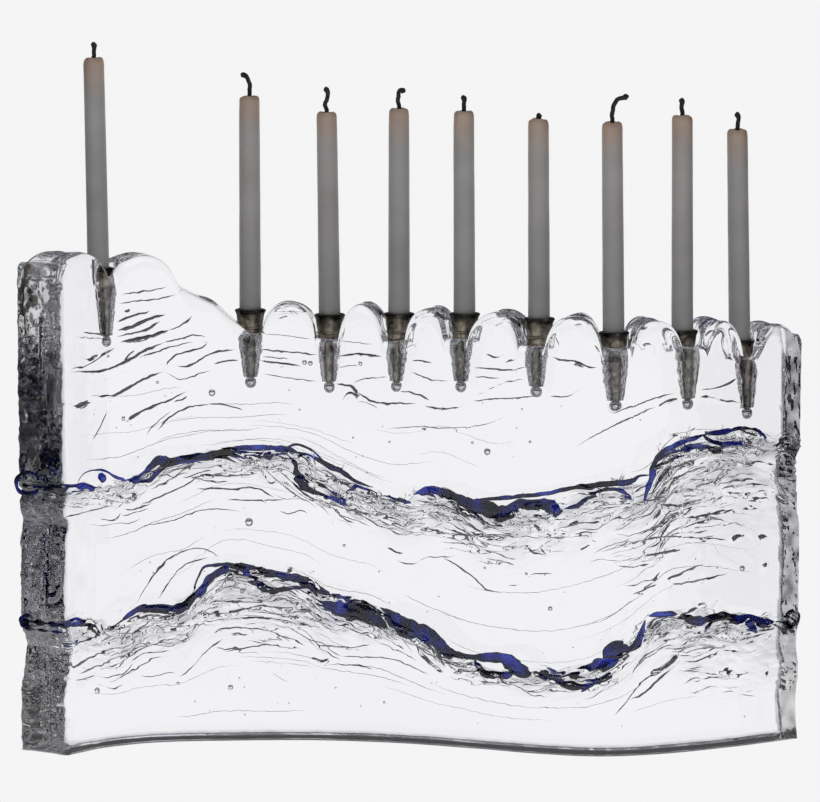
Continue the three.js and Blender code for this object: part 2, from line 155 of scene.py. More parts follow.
# Folds: how thick the line looks, depth of the sheet of air, then its line as x, z. Except for the
# row with depth 6, the points and depths were printed by a separate script: it turned lines read off
# the photograph in pixels into millimetres and drew the depths at random. The thicknesses were
# rescaled afterwards. build/report.md lists this as a rule of the build that the file breaks.
FOLDS = [
    (0.6, -8, [(-119, 188), (-107, 189), (-100, 190.5)]),
    (0.6, -5, [(-121, 184), (-114, 184.5), (-106, 185), (-96, 187)]),
    (1.1, -5, [(-119, 180.5), (-117, 181), (-116, 182)]),
    (0.8, -8, [(-121, 177), (-114, 179), (-107, 180.5)]),
    (1.1, 6, [(-97, 188.5), (-91, 185.5), (-82, 181.5), (-74.6, 174.8), (-71, 172)]),
    (1.1, -7, [(-121, 173), (-116, 174), (-111, 176), (-107, 177.5), (-100, 179)]),
    (0.8, -5, [(-122, 170.5), (-111, 172), (-107, 174), (-103, 176.5)]),
    (1.3, -6, [(-120, 168), (-109, 169.5), (-104, 171), (-99, 172.5)]),
    (0.7, -4, [(-100, 172), (-96, 173.5), (-92, 176), (-90, 178.5)]),
    (0.7, -5, [(-141, 159), (-136, 159.5), (-126, 164.5), (-122, 166)]),
    (1.1, -9, [(-140, 158.5), (-129, 157), (-119, 159.5), (-109, 164.5), (-101, 167.5)]),
    (0.7, -5, [(-102, 167), (-93, 169), (-89, 170), (-84, 169)]),
    (0.6, -9, [(-118, 160.5), (-116, 163), (-113, 165)]),
    (0.7, -3, [(-113, 161), (-104, 163.5), (-95, 166), (-89, 167)]),
    (0.8, -6, [(-102, 155), (-101, 158), (-99, 160.5), (-95, 162.5), (-87, 164.5), (-84, 166.5), (-86, 168)]),
    (0.8, -7, [(-97, 158.5), (-95, 157), (-91, 157.5), (-82, 162.5), (-72, 164)]),
    (0.5, -5, [(-102, 155), (-95, 151.5), (-87, 154), (-82, 155)]),
    (0.8, -8, [(-132, 147), (-123, 146.5), (-119, 148), (-109, 153), (-101, 155.5)]),
    (1.2, -8, [(-142, 146), (-137, 143.5), (-135, 144.5), (-131, 144.5)]),
    (1.1, -4, [(-138, 142), (-136, 144), (-135, 145.5)]),
    (0.8, -6, [(-119, 135), (-110, 139.5), (-100, 143), (-92, 147)]),
    (0.7, -5, [(-105, 130.5), (-101, 135), (-93, 139.5), (-83, 141)]),
    (0.8, -3, [(-84, 141), (-78, 140.5), (-74, 139.5), (-69, 138.5)]),
    (0.4, -5, [(-110, 128.5), (-108, 131.5), (-99, 138.5)]),
    (0.7, -6, [(-98, 142.5), (-94, 143.5), (-92, 145)]),
    (0.8, -6, [(-81, 158), (-77, 159), (-71, 159.5)]),
    (0.4, -4, [(-133, 128.5), (-131, 131.5), (-126, 140.5)]),
    (1.1, -3, [(-137, 173), (-132, 172), (-127, 171.5)]),
    (0.8, -8, [(-137, 172), (-126, 170)]),
    (1, -8, [(-137, 164), (-133, 162), (-129, 164)]),
    (0.8, -4, [(-63, 164), (-52, 162.5), (-38, 161.5)]),
    (0.6, -8, [(-61, 161), (-50, 160)]),
    (1.1, -3, [(-62, 159), (-57, 158), (-45, 156.5)]),
    (0.5, -5, [(-61, 153.5), (-45, 151), (-38, 150.5)]),
    (1, -6, [(-30, 161), (-20, 162), (-11, 161.5)]),
    (0.5, -4, [(-29, 156.5), (-21, 157.5)]),
    (0.4, -9, [(-30, 168), (-20, 167), (-15, 166.5)]),
    (1, -4, [(-30, 149.5), (-24, 148.5), (-22, 146.5), (-21, 144.5)]),
    (1.5, -3, [(-27, 142.5), (-26, 144.5), (-24, 145.5), (-21, 144.5), (-21, 142.5)]),
    (0.6, -9, [(-24, 149), (-22, 151), (-19, 152), (-9, 153.5)]),
    (0.8, -8, [(-22, 146.5), (-14, 142.5), (3, 142.5)]),
    (0.5, -3, [(-21, 143), (-12, 139.5)]),
    (0.9, -5, [(7, 141.5), (11, 140.5), (16, 140.5), (21, 141.5), (25, 144.5)]),
    (0.7, -9, [(-4, 147.5), (1, 147), (6, 145.5), (9, 144)]),
    (0.5, -7, [(1, 155.5), (10, 152.5), (17, 152.5)]),
    (0.8, -3, [(2, 160), (10, 159)]),
    (0.7, -9, [(-3, 164.5), (0, 166), (4, 168)]),
    (0.6, -3, [(28, 154.5), (38, 154)]),
    (0.8, -3, [(28, 146.5), (35, 150), (43, 153.5), (48, 154)]),
    (0.7, -7, [(26, 144.5), (40, 146.5), (54, 148)]),
    (0.8, -6, [(27, 158.5), (38, 158), (42, 158), (49, 160)]),
    (0.7, -5, [(32, 164), (37, 163), (40, 165)]),
    (1.1, -4, [(40, 161), (43, 162), (46, 163.5)]),
    (0.4, -6, [(-61, 170.5), (-47, 169), (-40, 168)]),
    (0.5, -4, [(-10, 131), (5, 132.5), (18, 132.5), (34, 135.5), (45, 141.5)]),
    (0.9, -3, [(59, 164), (62, 163), (67, 162.5), (74, 160), (77, 160.5)]),
    (0.6, -6, [(60, 172.5), (62, 168.5)]),
    (0.8, -6, [(92, 170.5), (94, 167.5), (95, 169.5), (98, 169), (99, 164.5)]),
    (0.7, -4, [(58, 148), (65, 148), (70, 151.5)]),
    (0.6, -3, [(80, 145.5), (82, 141.5), (90, 144), (101, 147.5), (108, 149)]),
    (0.6, -5, [(68, 127.5), (79, 134.5), (93, 141), (100, 144)]),
    (1.1, -6, [(101, 144), (105, 146), (109, 147)]),
    (1, -8, [(118, 147), (122, 147), (127, 145), (136, 143.5)]),
    (0.6, -7, [(118, 150), (123, 150), (128, 151), (135, 154.5)]),
    (0.7, -9, [(94, 106), (98, 105.5), (105, 108)]),
    (0.7, -9, [(98, 108), (102, 114), (107, 118.5), (118, 121.5)]),
    (0.7, -8, [(100, 105.5), (105, 110.5), (110, 115), (122, 118.5)]),
    (1.1, -6, [(98, 118), (104, 120.5), (110, 123), (120, 124)]),
    (1.1, -8, [(100, 104), (108, 102.5), (116, 103.5), (120, 104)]),
    (0.8, -7, [(99, 97.5), (101, 99.5), (102, 101.5)]),
    (0.8, -4, [(93, 91), (97, 92.5), (102, 95), (106, 98), (118, 101.5)]),
    (1.2, -6, [(113, 96.5), (123, 98), (133, 99)]),
    (1.1, -3, [(110, 96), (110, 93), (118, 94.5), (123, 95.5), (133, 92.5)]),
    (1.1, -4, [(132, 93), (138, 90.5), (141, 88), (144, 82.5)]),
    (0.8, -3, [(135, 98.5), (139, 98.5), (145, 96.5)]),
    (0.7, -7, [(94, 89), (102, 90), (118, 88.5), (130, 86.5), (133, 85)]),
    (1.1, -6, [(132, 86), (133, 87.5), (138, 88)]),
    (1.5, -5, [(143, 85.5), (144, 86.5), (147, 86.5)]),
    (0.9, -3, [(122, 86.5), (126, 80.5), (132, 77), (135, 75)]),
    (0.5, -6, [(136, 82.5), (142, 77.5)]),
    (1.1, -5, [(95, 82), (102, 83), (110, 84)]),
    (0.5, -7, [(94, 80), (104, 82)]),
    (0.8, -5, [(120, 77.5), (112, 74.5), (105, 71.5), (107, 70), (118, 70.5), (130, 72.5)]),
    (0.8, -5, [(91, 66.5), (99, 69.5), (101, 70.5)]),
    (1, -6, [(145, 77), (147, 75.5), (145, 74)]),
    (0.9, -5, [(110, 55.5), (112, 57.5), (118, 60)]),
    (1.2, -8, [(133, 119), (139, 118), (142, 118.5), (151, 116)]),
    (0.9, -7, [(127, 108.5), (139, 109), (146, 108), (153, 104)]),
    (0.9, -4, [(129, 104.5), (135, 105.5)]),
    (0.9, -9, [(139, 102.5), (147, 103.5)]),
    (1.1, -3, [(132, 110.5), (141, 110.5)]),
    (1.3, -7, [(124, 110.5), (127, 113.5), (130, 116.5)]),
    (1.3, -5, [(128, 117.5), (131, 118), (134, 114.5)]),
    (1.1, -4, [(106, 125.5), (128, 124.5), (152, 121.5)]),
    (0.6, -4, [(-115, 58.5), (-109, 68), (-99, 77.5), (-87, 80.5), (-80, 76.5), (-82, 73)]),
    (0.6, -8, [(-105, 60), (-99, 69), (-94, 74), (-83, 77.5)]),
    (0.8, -4, [(-81, 61), (-79, 64.5), (-76, 67), (-73, 66.5), (-72, 64), (-72, 60)]),
    (0.9, -3, [(-88, 57.5), (-71, 57.5), (-56, 58), (-50, 59.5)]),
    (0.5, -7, [(-143, 34.5), (-132, 39), (-123, 40)]),
    (0.5, -5, [(-139, 32), (-122, 36.5), (-113, 38)]),
    (0.9, -5, [(-119, 52), (-113, 52.5), (-107, 53), (-99, 51)]),
    (0.7, -5, [(-77, 37), (-60, 39.5), (-54, 39)]),
    (0.7, -9, [(-39, 40), (-25, 39.5), (-16, 41)]),
    (1.3, -4, [(-41, 34), (-36, 32.5), (-33, 34)]),
    (1.1, -4, [(-92, 52.5), (-73, 53.5), (-63, 56), (-46, 53.5), (-29, 48.5)]),
    (0.9, -8, [(-87, 50), (-62, 51.5), (-50, 49.5), (-37, 47.5)]),
    (0.7, -4, [(-71, 47), (-58, 45), (-50, 41)]),
    (0.7, -3, [(-109, 47), (-92, 48), (-81, 48.5)]),
    (0.8, -5, [(3, 41), (6, 37), (15, 30)]),
    (0.7, -7, [(7, 43), (16, 32.5)]),
    (1.1, -7, [(19, 31), (30, 32)]),
    (0.5, -9, [(-29, 35.5), (-6, 35), (2, 32), (9, 29)]),
    (0.7, -9, [(90, 23), (96, 26), (104, 33), (111, 38.5)]),
    (0.8, -6, [(110, 43.5), (118, 47), (129, 44.5), (142, 44.5), (148, 45.5)]),
    (0.7, -3, [(114, 41.5), (124, 41.5), (131, 39), (137, 39)]),
    (0.7, -4, [(111, 37.5), (116, 36.5), (128, 40.5)]),
    (1, -6, [(130, 30), (132, 32.5)]),
    (0.9, -9, [(121, 48.5), (122, 51.5), (125, 53.5), (128, 53.5), (132, 48.5)]),
    (1.3, -7, [(125, 48), (127, 49.5), (130, 49.5), (130, 46)]),
    (1.3, -3, [(132, 49), (134, 46.5), (137, 47)]),
    (1.1, -9, [(98, 51), (101, 53.5), (103, 55)]),
    (0.9, -6, [(99, 49), (106, 49.5)]),
    (0.9, -8, [(107, 52), (110, 50.5), (113, 47.5)]),
    (0.8, -9, [(147, 33.5), (148, 30.5), (147, 27.5)]),
    (1.1, -7, [(110, 41), (104, 35.5), (98, 34)]),
    (0.8, -6, [(34, 95), (38, 94), (44, 97)]),
    (0.9, -3, [(-3, 93.5), (9, 90), (20, 88), (38, 89), (56, 89)]),
    (0.5, -6, [(13, 85), (38, 85), (46, 85.5), (52, 88.5)]),
    (0.7, -3, [(49, 85.5), (52, 83), (58, 82.5)]),
    (1.1, -9, [(54, 86.5), (55, 84), (57, 83.5)]),
    (1.5, -9, [(51, 95.5), (54, 92.5), (53, 91)]),
    (0.9, -5, [(57, 98), (58, 94.5), (57, 91.5), (61, 89.5), (66, 90.5)]),
    (1.1, -5, [(64, 93), (67, 95.5), (73, 96.5), (78, 96.5)]),
    (0.7, -3, [(68, 91.5), (74, 92), (75, 89), (77, 88)]),
    (1.5, -9, [(76, 101.5), (82, 103)]),
    (0.7, -6, [(3, 102), (13, 100.5), (24, 97), (30, 96)]),
    (0.7, -4, [(9, 97), (16, 96), (18, 94)]),
    (0.6, -5, [(32, 79.5), (44, 77.5)]),
    (1.2, -7, [(70, 85.5), (74, 87.5)]),
    (0.6, -5, [(78, 84.5), (94, 88.5), (105, 90)]),
    (1.4, -7, [(-124, 108.5), (-122, 105.5), (-119, 103.5), (-115, 102.5), (-114, 104.5), (-114, 107.5)]),
    (0.7, -5, [(-144, 107), (-138, 105), (-125, 103)]),
    (1.2, -8, [(-142, 104), (-140, 102.5), (-135, 101.5)]),
    (0.7, -9, [(-134, 99.5), (-126, 95), (-122, 95), (-119, 98.5)]),
    (0.7, -7, [(-129, 101.5), (-124, 103), (-117, 98), (-106, 101.5)]),
    (0.7, -9, [(-112, 100), (-96, 106.5), (-89, 110.5), (-87, 114)]),
    (0.8, -9, [(-91, 111), (-81, 109), (-75, 109)]),
    (1.1, -9, [(-87, 112), (-75, 111.5), (-63, 112.5)]),
    (0.9, -5, [(-89, 105.5), (-73, 105.5), (-64, 105.5), (-56, 101.5)]),
    (0.7, -5, [(-76, 101), (-58, 100.5), (-52, 101)]),
    (1.2, -9, [(-68, 113.5), (-62, 113.5), (-60, 110.5), (-57, 108), (-55, 110)]),
    (0.9, -8, [(-58, 117), (-50, 109.5), (-41, 102), (-27, 98)]),
    (0.8, -6, [(-27, 98), (-13, 95), (-6, 96.5), (1, 95.5)]),
    (0.8, -7, [(-61, 114.5), (-50, 105), (-45, 101.5)]),
    (0.7, -5, [(-108, 106), (-100, 109.5), (-94, 114), (-88, 116.5)]),
    (0.5, -7, [(-112, 91), (-98, 93), (-87, 97), (-76, 97), (-69, 96)]),
    (1.1, -8, [(-32, 91), (-31, 95), (-29, 98)]),
    (0.7, -4, [(-23, 102.5), (-19, 103), (-10, 99), (0, 96)]),
]
# Bubbles: x, z, diameter. All the places but the last two were read off the photograph in pixels
# too, and turned into millimetres by that script or by an earlier, rougher one.
BUBBLES = [
    (-82, 146, 3), (32.5, 124, 3), (-67, 91.5, 3.6), (58.5, 60, 2), (-131, 24, 3), (-75, 22, 2.4),
    (-120, 136, 2), (-43.5, 158.5, 2.2), (-41, 158, 2.2), (-20, 158, 2), (136, 74, 2.6), (87, 106, 3),
    (-70, 62.5, 2.4),
    (-105, 150.5, 1.4), (-126, 162.5, 1.4), (27, 127, 1.3), (50, 129, 1.2), (-8, 126, 1.1), (-23, 127, 1),
    (-27, 82, 1.4), (32, 75, 1.3), (49, 74, 1.2), (-10, 16, 1.2), (-97, 24, 1.5), (-46, 47, 1.6),
]
LEAN = 0.085  # how much a fold's far edge is raised, so that it mirrors the dark above
JOINT_FOLDS = 430  # small folds under each joint
DRIFT_FOLDS = 60  # long faint ones through the courses
SMALL_BUBBLES = 120
RIM_FOLDS = 28  # dark arcs inside the lobes, in rows of seven
RIM_THICKNESS = (1.2, 0.9, 0.6, 0.5)  # how thick each row looks, from the top row down
LOBE_ARCS = 21  # laps in the skin round the lobes
# How far the wrinkles reach below each joint.
UPPER_WRINKLES = [
    (-150, 9), (-90, 8), (-60, 14), (-40, 15), (0, 14), (30, 18), (80, 22), (100, 36), (150, 36),
]
LOWER_WRINKLES = [
    (-150, 13), (-110, 20), (-60, 25), (-20, 18), (0, 9), (60, 9), (95, 15), (120, 26), (150, 22),
]

# ---- cobalt trails: depth, then x, z, radius along the line ----
# x and z were printed by the same script, from pixel points, except for the first two points of the
# first upper row.

UPPER_TRAILS = [
    (-3, [(-150, 110, 0.8), (-145, 110.5, 1.3), (-141, 110.5, 1.3), (-136, 109, 1.2), (-131, 108, 0.7)]),
    (-5, [(-139, 112.5, 0.5), (-136, 115.5, 0.5), (-133, 116, 0.5), (-128, 115.5, 0.6), (-124, 113, 0.5),
          (-120, 111, 0.7), (-115, 110.5, 0.8), (-110, 114, 1), (-105, 118, 1.8), (-102, 117.5, 2.2),
          (-98, 118, 1.2), (-92, 119, 1.1), (-81, 120.5, 1.1), (-69, 122.5, 1.2), (-58, 122.5, 1.2),
          (-51, 122, 1.3), (-46, 120.5, 1), (-41, 119, 1), (-35, 116, 1), (-28, 113, 1.1),
          (-23, 109.5, 1.3), (-19, 108, 1.1), (-14, 106.5, 0.5)]),
    (-2, [(-131, 114, 1), (-129, 112, 1.8), (-127, 111, 0.9)]),
    (-3, [(-122, 110, 0.5), (-115, 109.5, 0.8), (-109, 109.5, 0.9), (-106, 112, 0.9), (-102, 115.5, 1.2),
          (-96, 117, 1), (-87, 118, 0.9), (-76, 119, 0.9), (-64, 119, 0.9), (-56, 119.5, 1),
          (-50, 120.5, 0.9)]),
    (-5, [(-52, 122.5, 0.6), (-48, 124, 0.5), (-43, 123, 0.5), (-39, 120.5, 0.5), (-36, 117.5, 0.5),
          (-32, 115, 0.6)]),
    (-6, [(-51, 120.5, 0.8), (-48, 116, 1), (-46, 110.5, 2.1), (-44, 107, 2), (-40, 104.5, 1.1),
          (-36, 103, 0.9), (-30, 101, 0.9), (-26, 98.5, 0.6)]),
    (-4, [(-46, 112.5, 0.6), (-41, 110, 0.6), (-36, 107, 0.6), (-31, 103.5, 0.7), (-24, 98, 0.5)]),
    (-5, [(-27, 104, 0.6), (-24, 105.5, 0.7), (-22, 106.5, 0.7), (-19, 106, 0.7), (-15, 104, 0.7),
          (-9, 102.5, 0.8), (-4, 101.5, 1.2), (2, 100.5, 1.5)]),
    (-3, [(2, 104.5, 0.9), (7, 105.5, 2.2), (14, 105.5, 2), (20, 103.5, 2.2), (26, 101, 2.7),
          (32, 100, 3.4), (38, 98.5, 3.1), (42, 99.5, 2.5), (46, 102.5, 2.1), (51, 103, 2),
          (55, 103.5, 2.2), (58, 102.5, 2.9), (61, 100.5, 2.6), (64, 100.5, 1)]),
    (-6, [(29, 104, 1), (38, 105, 0.9), (47, 106.5, 0.8), (56, 108, 0.8), (66, 110.5, 0.9),
          (76, 112, 1.2), (84, 113, 1.1), (90, 113.5, 1.2), (93, 115.5, 0.8), (98, 116, 0.9)]),
    (-5, [(64, 101.5, 1), (68, 103, 0.9), (73, 106.5, 0.9), (78, 109.5, 0.8), (82, 110.5, 0.7),
          (86, 109.5, 0.7), (89, 107, 0.8), (91, 104.5, 0.8)]),
    (-4, [(95, 104, 0.9), (96, 108.5, 1.2), (98, 114, 1.3), (99, 119.5, 1.1), (102, 124.5, 1.1),
          (107, 127, 1.1), (113, 129, 1.2), (119, 131, 1), (126, 131.5, 1.1), (134, 132, 1.2),
          (141, 131, 1.2), (144, 129, 1.2), (146, 124.5, 1)]),
    (-2, [(100, 120.5, 0.7), (104, 123.5, 0.7), (110, 125.5, 0.7), (117, 126, 0.8), (124, 124, 0.9),
          (128, 124, 0.5)]),
    (-6, [(119, 130.5, 0.6), (123, 128, 0.9), (130, 126, 0.9), (136, 126.5, 1), (140, 125, 0.7)]),
]
LOWER_TRAILS = [
    (-4, [(-144, 51.5, 0.8), (-144, 54, 0.9), (-140, 54, 1.3), (-135, 51.5, 1.1), (-131, 49, 1.2),
          (-133, 46.5, 0.6), (-139, 45.5, 0.5), (-144, 46, 0.5)]),
    (-5, [(-127, 47.5, 0.8), (-123, 50.5, 1), (-119, 53, 1.1), (-114, 56, 1.2), (-109, 56, 1.8),
          (-102, 55.5, 2), (-95, 56, 1.8), (-91, 59, 1.3), (-87, 63, 1.6), (-84, 67.5, 1.7),
          (-80, 70.5, 1.4), (-75, 72, 1.4), (-70, 71.5, 1.5), (-67, 69, 1.2), (-63, 65.5, 1.2),
          (-59, 62.5, 1.1), (-53, 63, 1.2), (-47, 64, 1.2), (-42, 63.5, 1.3)]),
    (-3, [(-91, 59.5, 0.4), (-90, 64.5, 0.5), (-88, 69, 0.5), (-86, 72.5, 0.5), (-81, 73.5, 0.7),
          (-75, 73.5, 1), (-68, 72.5, 1.1), (-61, 70.5, 1.5), (-54, 69, 1.6), (-46, 67, 2),
          (-42, 65, 2.1), (-38, 62.5, 1.6), (-31, 60.5, 1.2), (-24, 59, 0.9), (-18, 57.5, 0.9),
          (-12, 54, 0.8), (-7, 49.5, 0.6)]),
    (-4, [(-40, 59, 0.6), (-35, 57, 1.8), (-29, 55, 3.1), (-23, 54.5, 3.5), (-18, 53, 3.3),
          (-13, 50.5, 2.6), (-8, 47.5, 1.2)]),
    (-6, [(-12, 56.5, 0.7), (-8, 54, 2.2), (-4, 50, 3.5), (2, 47.5, 3.7), (7, 46.5, 3.2), (12, 43, 2.8),
          (17, 39, 2.1), (22, 38, 1.3), (27, 38, 1), (31, 38, 1.8), (37, 38.5, 2.1), (41, 37.5, 2.6),
          (45, 34.5, 3.5), (48, 33, 3.6), (51, 32.5, 2.2)]),
    (-4, [(28, 37, 0.8), (29, 33.5, 1.2), (32, 31, 1.2), (36, 30.5, 1), (41, 30.5, 1.1), (44, 32, 1.2)]),
    (-5, [(51, 33.5, 1.4), (56, 32.5, 1.7), (61, 30.5, 1.6), (66, 29, 1.2), (71, 28, 1.4),
          (75, 29.5, 1.5), (78, 31, 1.4), (83, 33.5, 1.6)]),
    (-3, [(57, 35, 0.7), (61, 33.5, 0.8), (65, 32.5, 0.9), (69, 32.5, 0.9), (73, 32, 0.6)]),
    (-6, [(69, 35.5, 0.8), (74, 36.5, 1.8), (78, 38, 2.5), (81, 38.5, 2.6), (83, 42, 3.5), (85, 44, 3.6),
          (87, 44, 2.3), (90, 44, 1.4), (93, 46, 1.9), (94, 49, 1.4), (95, 52.5, 1.2), (96, 56, 1.2)]),
    (-3, [(97, 57, 0.6), (100, 57.5, 1.1), (103, 57.5, 1.3), (106, 57.5, 1.2), (109, 57, 0.6)]),
    (-5, [(109, 55.5, 0.9), (112, 55.5, 1.6), (115, 54, 2), (118, 53.5, 1.8), (122, 54, 1.6),
          (125, 55, 1.4), (129, 54.5, 1.5), (133, 52.5, 2), (136, 52.5, 1.5), (139, 53.5, 1.1),
          (142, 52, 1.3), (145, 49.5, 2.2), (149, 49.5, 1.8), (152, 50, 1.3), (155, 48.5, 1)]),
    (-2, [(137, 51, 0.8), (139, 49.5, 1.8), (140, 48, 1.8), (142, 46, 0.8)]),
]
# Loops that stand out of the slab's ends: which end, depth, height, radius of the loop, and of its glass.
END_LOOPS = {
    "upper": [("left", 6, 112, 4.6, 0.8)],
    "lower": [("left", 8, 54.5, 2.4, 0.8), ("right", -4, 50, 3.8, 0.9), ("right", 3, 46, 2.8, 0.8)],
}
# Beads of the same glass that cross the slab's ends: which end, height, radius.
END_BEADS = {
    "upper": [("left", 110.8, 0.8)],
    "lower": [("left", 54.2, 1.1), ("left", 51.0, 0.6), ("right", 48.5, 1.0)],
}


# ---- curves, heights and noise ----

def smooth_line(points, steps):
    """Centripetal Catmull-Rom line through points of any size, with steps to each span."""
    points = np.array(points, float)
    points = np.vstack([2 * points[0] - points[1], points, 2 * points[-1] - points[-2]])
    f = np.linspace(0, 1, steps, endpoint=False)[:, None]
    spans = []
    for a, b, c, d in zip(points, points[1:], points[2:], points[3:]):
        ab, bc, cd = (math.sqrt(np.linalg.norm(q - p)) for p, q in ((a, b), (b, c), (c, d)))
        leave = bc * ((b - a) / ab - (c - a) / (ab + bc) + (c - b) / bc)
        arrive = bc * ((c - b) / bc - (d - b) / (bc + cd) + (d - c) / cd)
        spans.append(b + leave * f + (3 * (c - b) - 2 * leave - arrive) * f**2
                     + (2 * (b - c) + leave + arrive) * f**3)
    spans.append(points[-2:-1])
    return np.vstack(spans)


def height_at(profile, x):
    """Height of a smooth profile through (x, z) points."""
    px, pz = np.array(profile, float).T
    slope = np.gradient(pz, px)
    slope[1:-1] = (pz[2:] - pz[:-2]) / (px[2:] - px[:-2])
    i = np.clip(np.searchsorted(px, x, side="right") - 1, 0, len(px) - 2)
    span = px[i + 1] - px[i]
    f = np.clip((x - px[i]) / span, 0, 1)
    rise = pz[i + 1] - pz[i]
    bend = (slope[i] * span - rise) * (1 - f) - (slope[i + 1] * span - rise) * f
    return pz[i] + f * rise + f * (1 - f) * bend


def hashed(cell, seed):
    """A scrambled whole number for each lattice cell."""
    mixed = cell[..., 0] * 73856093 ^ cell[..., 1] * 19349663 ^ cell[..., 2] * 83492791 ^ seed * 2654435761
    mixed = (mixed ^ (mixed >> 13)) * 1274126177 & 0x7FFFFFFF
    return mixed ^ (mixed >> 16)


GRADIENTS = np.array([g for g in product((-1, 0, 1), repeat=3) if sum(map(abs, g)) == 2], float)


def noise(x, y, z, seed=0):
    """Smooth noise between about -1 and 1."""
    p = np.stack(np.broadcast_arrays(x, y, z), -1).astype(float)
    cell = np.floor(p).astype(np.int64)
    f = p - cell
    fade = f**3 * (f * (f * 6 - 15) + 10)
    total = 0
    for corner in product((0, 1), repeat=3):
        corner = np.array(corner)
        gradient = GRADIENTS[hashed(cell + corner, seed) % len(GRADIENTS)]
        weight = np.prod(np.where(corner == 1, fade, 1 - fade), -1)
        total = total + weight * np.sum(gradient * (f - corner), -1)
    return total * 1.5


def bump(value, middle, width):
    return np.exp(-(((value - middle) / width) ** 2))


# ---- slab space ----

SPINE = smooth_line(SLAB_PLAN, 60)
STATIONS = np.concatenate([[0], np.cumsum(np.linalg.norm(np.diff(SPINE, axis=0), axis=1))])
LENGTH = STATIONS[-1]
HEADINGS = np.gradient(SPINE, STATIONS, axis=0)


def along(table, s):
    return np.stack([np.interp(s, STATIONS, table[:, i]) for i in (0, 1)], -1)


def plan_at(s, d):
    """Place in plan. Past an end, the slab carries on straight."""
    s, d = np.broadcast_arrays(np.asarray(s, float), np.asarray(d, float))
    inside = np.clip(s, 0, LENGTH)
    heading = along(HEADINGS, inside)
    side = np.stack([-heading[..., 1], heading[..., 0]], -1)
    skew = -LEFT_SKEW * d / HALF * np.clip(1 - 2 * inside / LENGTH, 0, 1) ** 9
    return along(SPINE, inside) + heading * (s - inside + skew)[..., None] + side * d[..., None]


def footprint_shift():
    """From the slab's own plan to the frame, which puts the object's middle at the origin."""
    outline = plan_at(np.linspace(0, LENGTH, 97)[:, None], np.array([-HALF, HALF]))
    middle = (outline.min((0, 1)) + outline.max((0, 1))) / 2
    low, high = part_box("glass_lower_course")
    return np.array([(low.x + high.x) / 2, (low.y + high.y) / 2]) / MM - middle


SHIFT = footprint_shift()


def in_frame(s, d, z):
    """Places in the slab to the shared frame, in metres."""
    plan = plan_at(s, d) + SHIFT
    z = np.broadcast_to(np.asarray(z, float), plan.shape[:-1])
    return MM * np.concatenate([plan, z[..., None]], -1)


def station_at(x, d=0.0):
    """Where along the slab the depth d reaches x."""
    x = np.asarray(x, float)
    s = np.interp(x, SPINE[:, 0], STATIONS)
    for _ in range(10):
        s = s + x - plan_at(s, d)[..., 0]
    return s


def centre_x(s):
    return plan_at(s, 0.0)[..., 0]


# ---- seats, from the frame ----

def seat_of(name):
    """A seat's axis and the middle of its socket's mouth, in millimetres in the frame."""
    axis = next(Vector(j["axis"]) for j in frame["joints"] if j["name"] == f"{name}_cup_lift").normalized()
    low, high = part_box(f"{name}_cup")
    lip = Vector(((low.x + high.x) / 2, (low.y + high.y) / 2, high.z)) / MM
    return {"name": name, "axis": axis, "mouth": lip - axis * LIP_Z}


SEATS = [seat_of(name) for name in LIGHTS]
SEAT_X = [seat["mouth"].x - SHIFT[0] for seat in SEATS]


def top_height(x):
    """Height of the top edge along the middle of the slab."""
    x = np.asarray(x, float)
    top = np.where(x < SEAT_X[1], height_at(SHOULDER, x), height_at(RIGHT_LOBE, x))
    for i, crest in enumerate(LOBE_TOPS):
        a, b = SEAT_X[i + 1], SEAT_X[i + 2]
        valley = np.interp(x, [a, b], VALLEY_HEIGHTS[i:i + 2])
        f = np.clip((x - a - VALLEY_HALF_WIDTH) / (b - a - 2 * VALLEY_HALF_WIDTH), 0, 1)
        lobe = valley + (crest - valley) * np.sqrt(1 - (1 - 2 * f) ** 2)
        top = np.where((x >= a) & (x < b), lobe, top)
    return top


# ---- meshes ----

def new_piece(name, points, faces, material, body, replaced=()):
    mesh = bpy.data.meshes.new(name)
    mesh.from_pydata(np.asarray(points).tolist(), [], faces)
    mesh.validate()
    mesh.update()
    mesh.shade_smooth()
    piece = bpy.data.objects.new(name, mesh)
    bpy.context.scene.collection.objects.link(piece)
    mesh.materials.append(material)
    if body:
        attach(piece, body)
    if replaced:
        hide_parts(*replaced)
    return piece


def ring_faces(rings, sides, first=0):
    """Quads between successive rings of vertices, with the first and last ring closed."""
    faces = []
    for r in range(rings - 1):
        for i in range(sides):
            j = (i + 1) % sides
            a, b = first + r * sides, first + (r + 1) * sides
            faces.append([a + i, a + j, b + j, b + i])
    faces.append([first + i for i in reversed(range(sides))])
    faces.append([first + (rings - 1) * sides + i for i in range(sides)])
    return faces


class Bundle:
    """Vertices and faces gathered from many swept or turned shapes."""

    def __init__(self):
        self.points = []
        self.faces = []

    def add(self, points, faces, inward=False):
        first = sum(map(len, self.points))
        self.points.append(points)
        for face in faces:
            order = face[::-1] if inward else face
            self.faces.append([first + i for i in order])

    def all_points(self):
        return np.vstack(self.points)


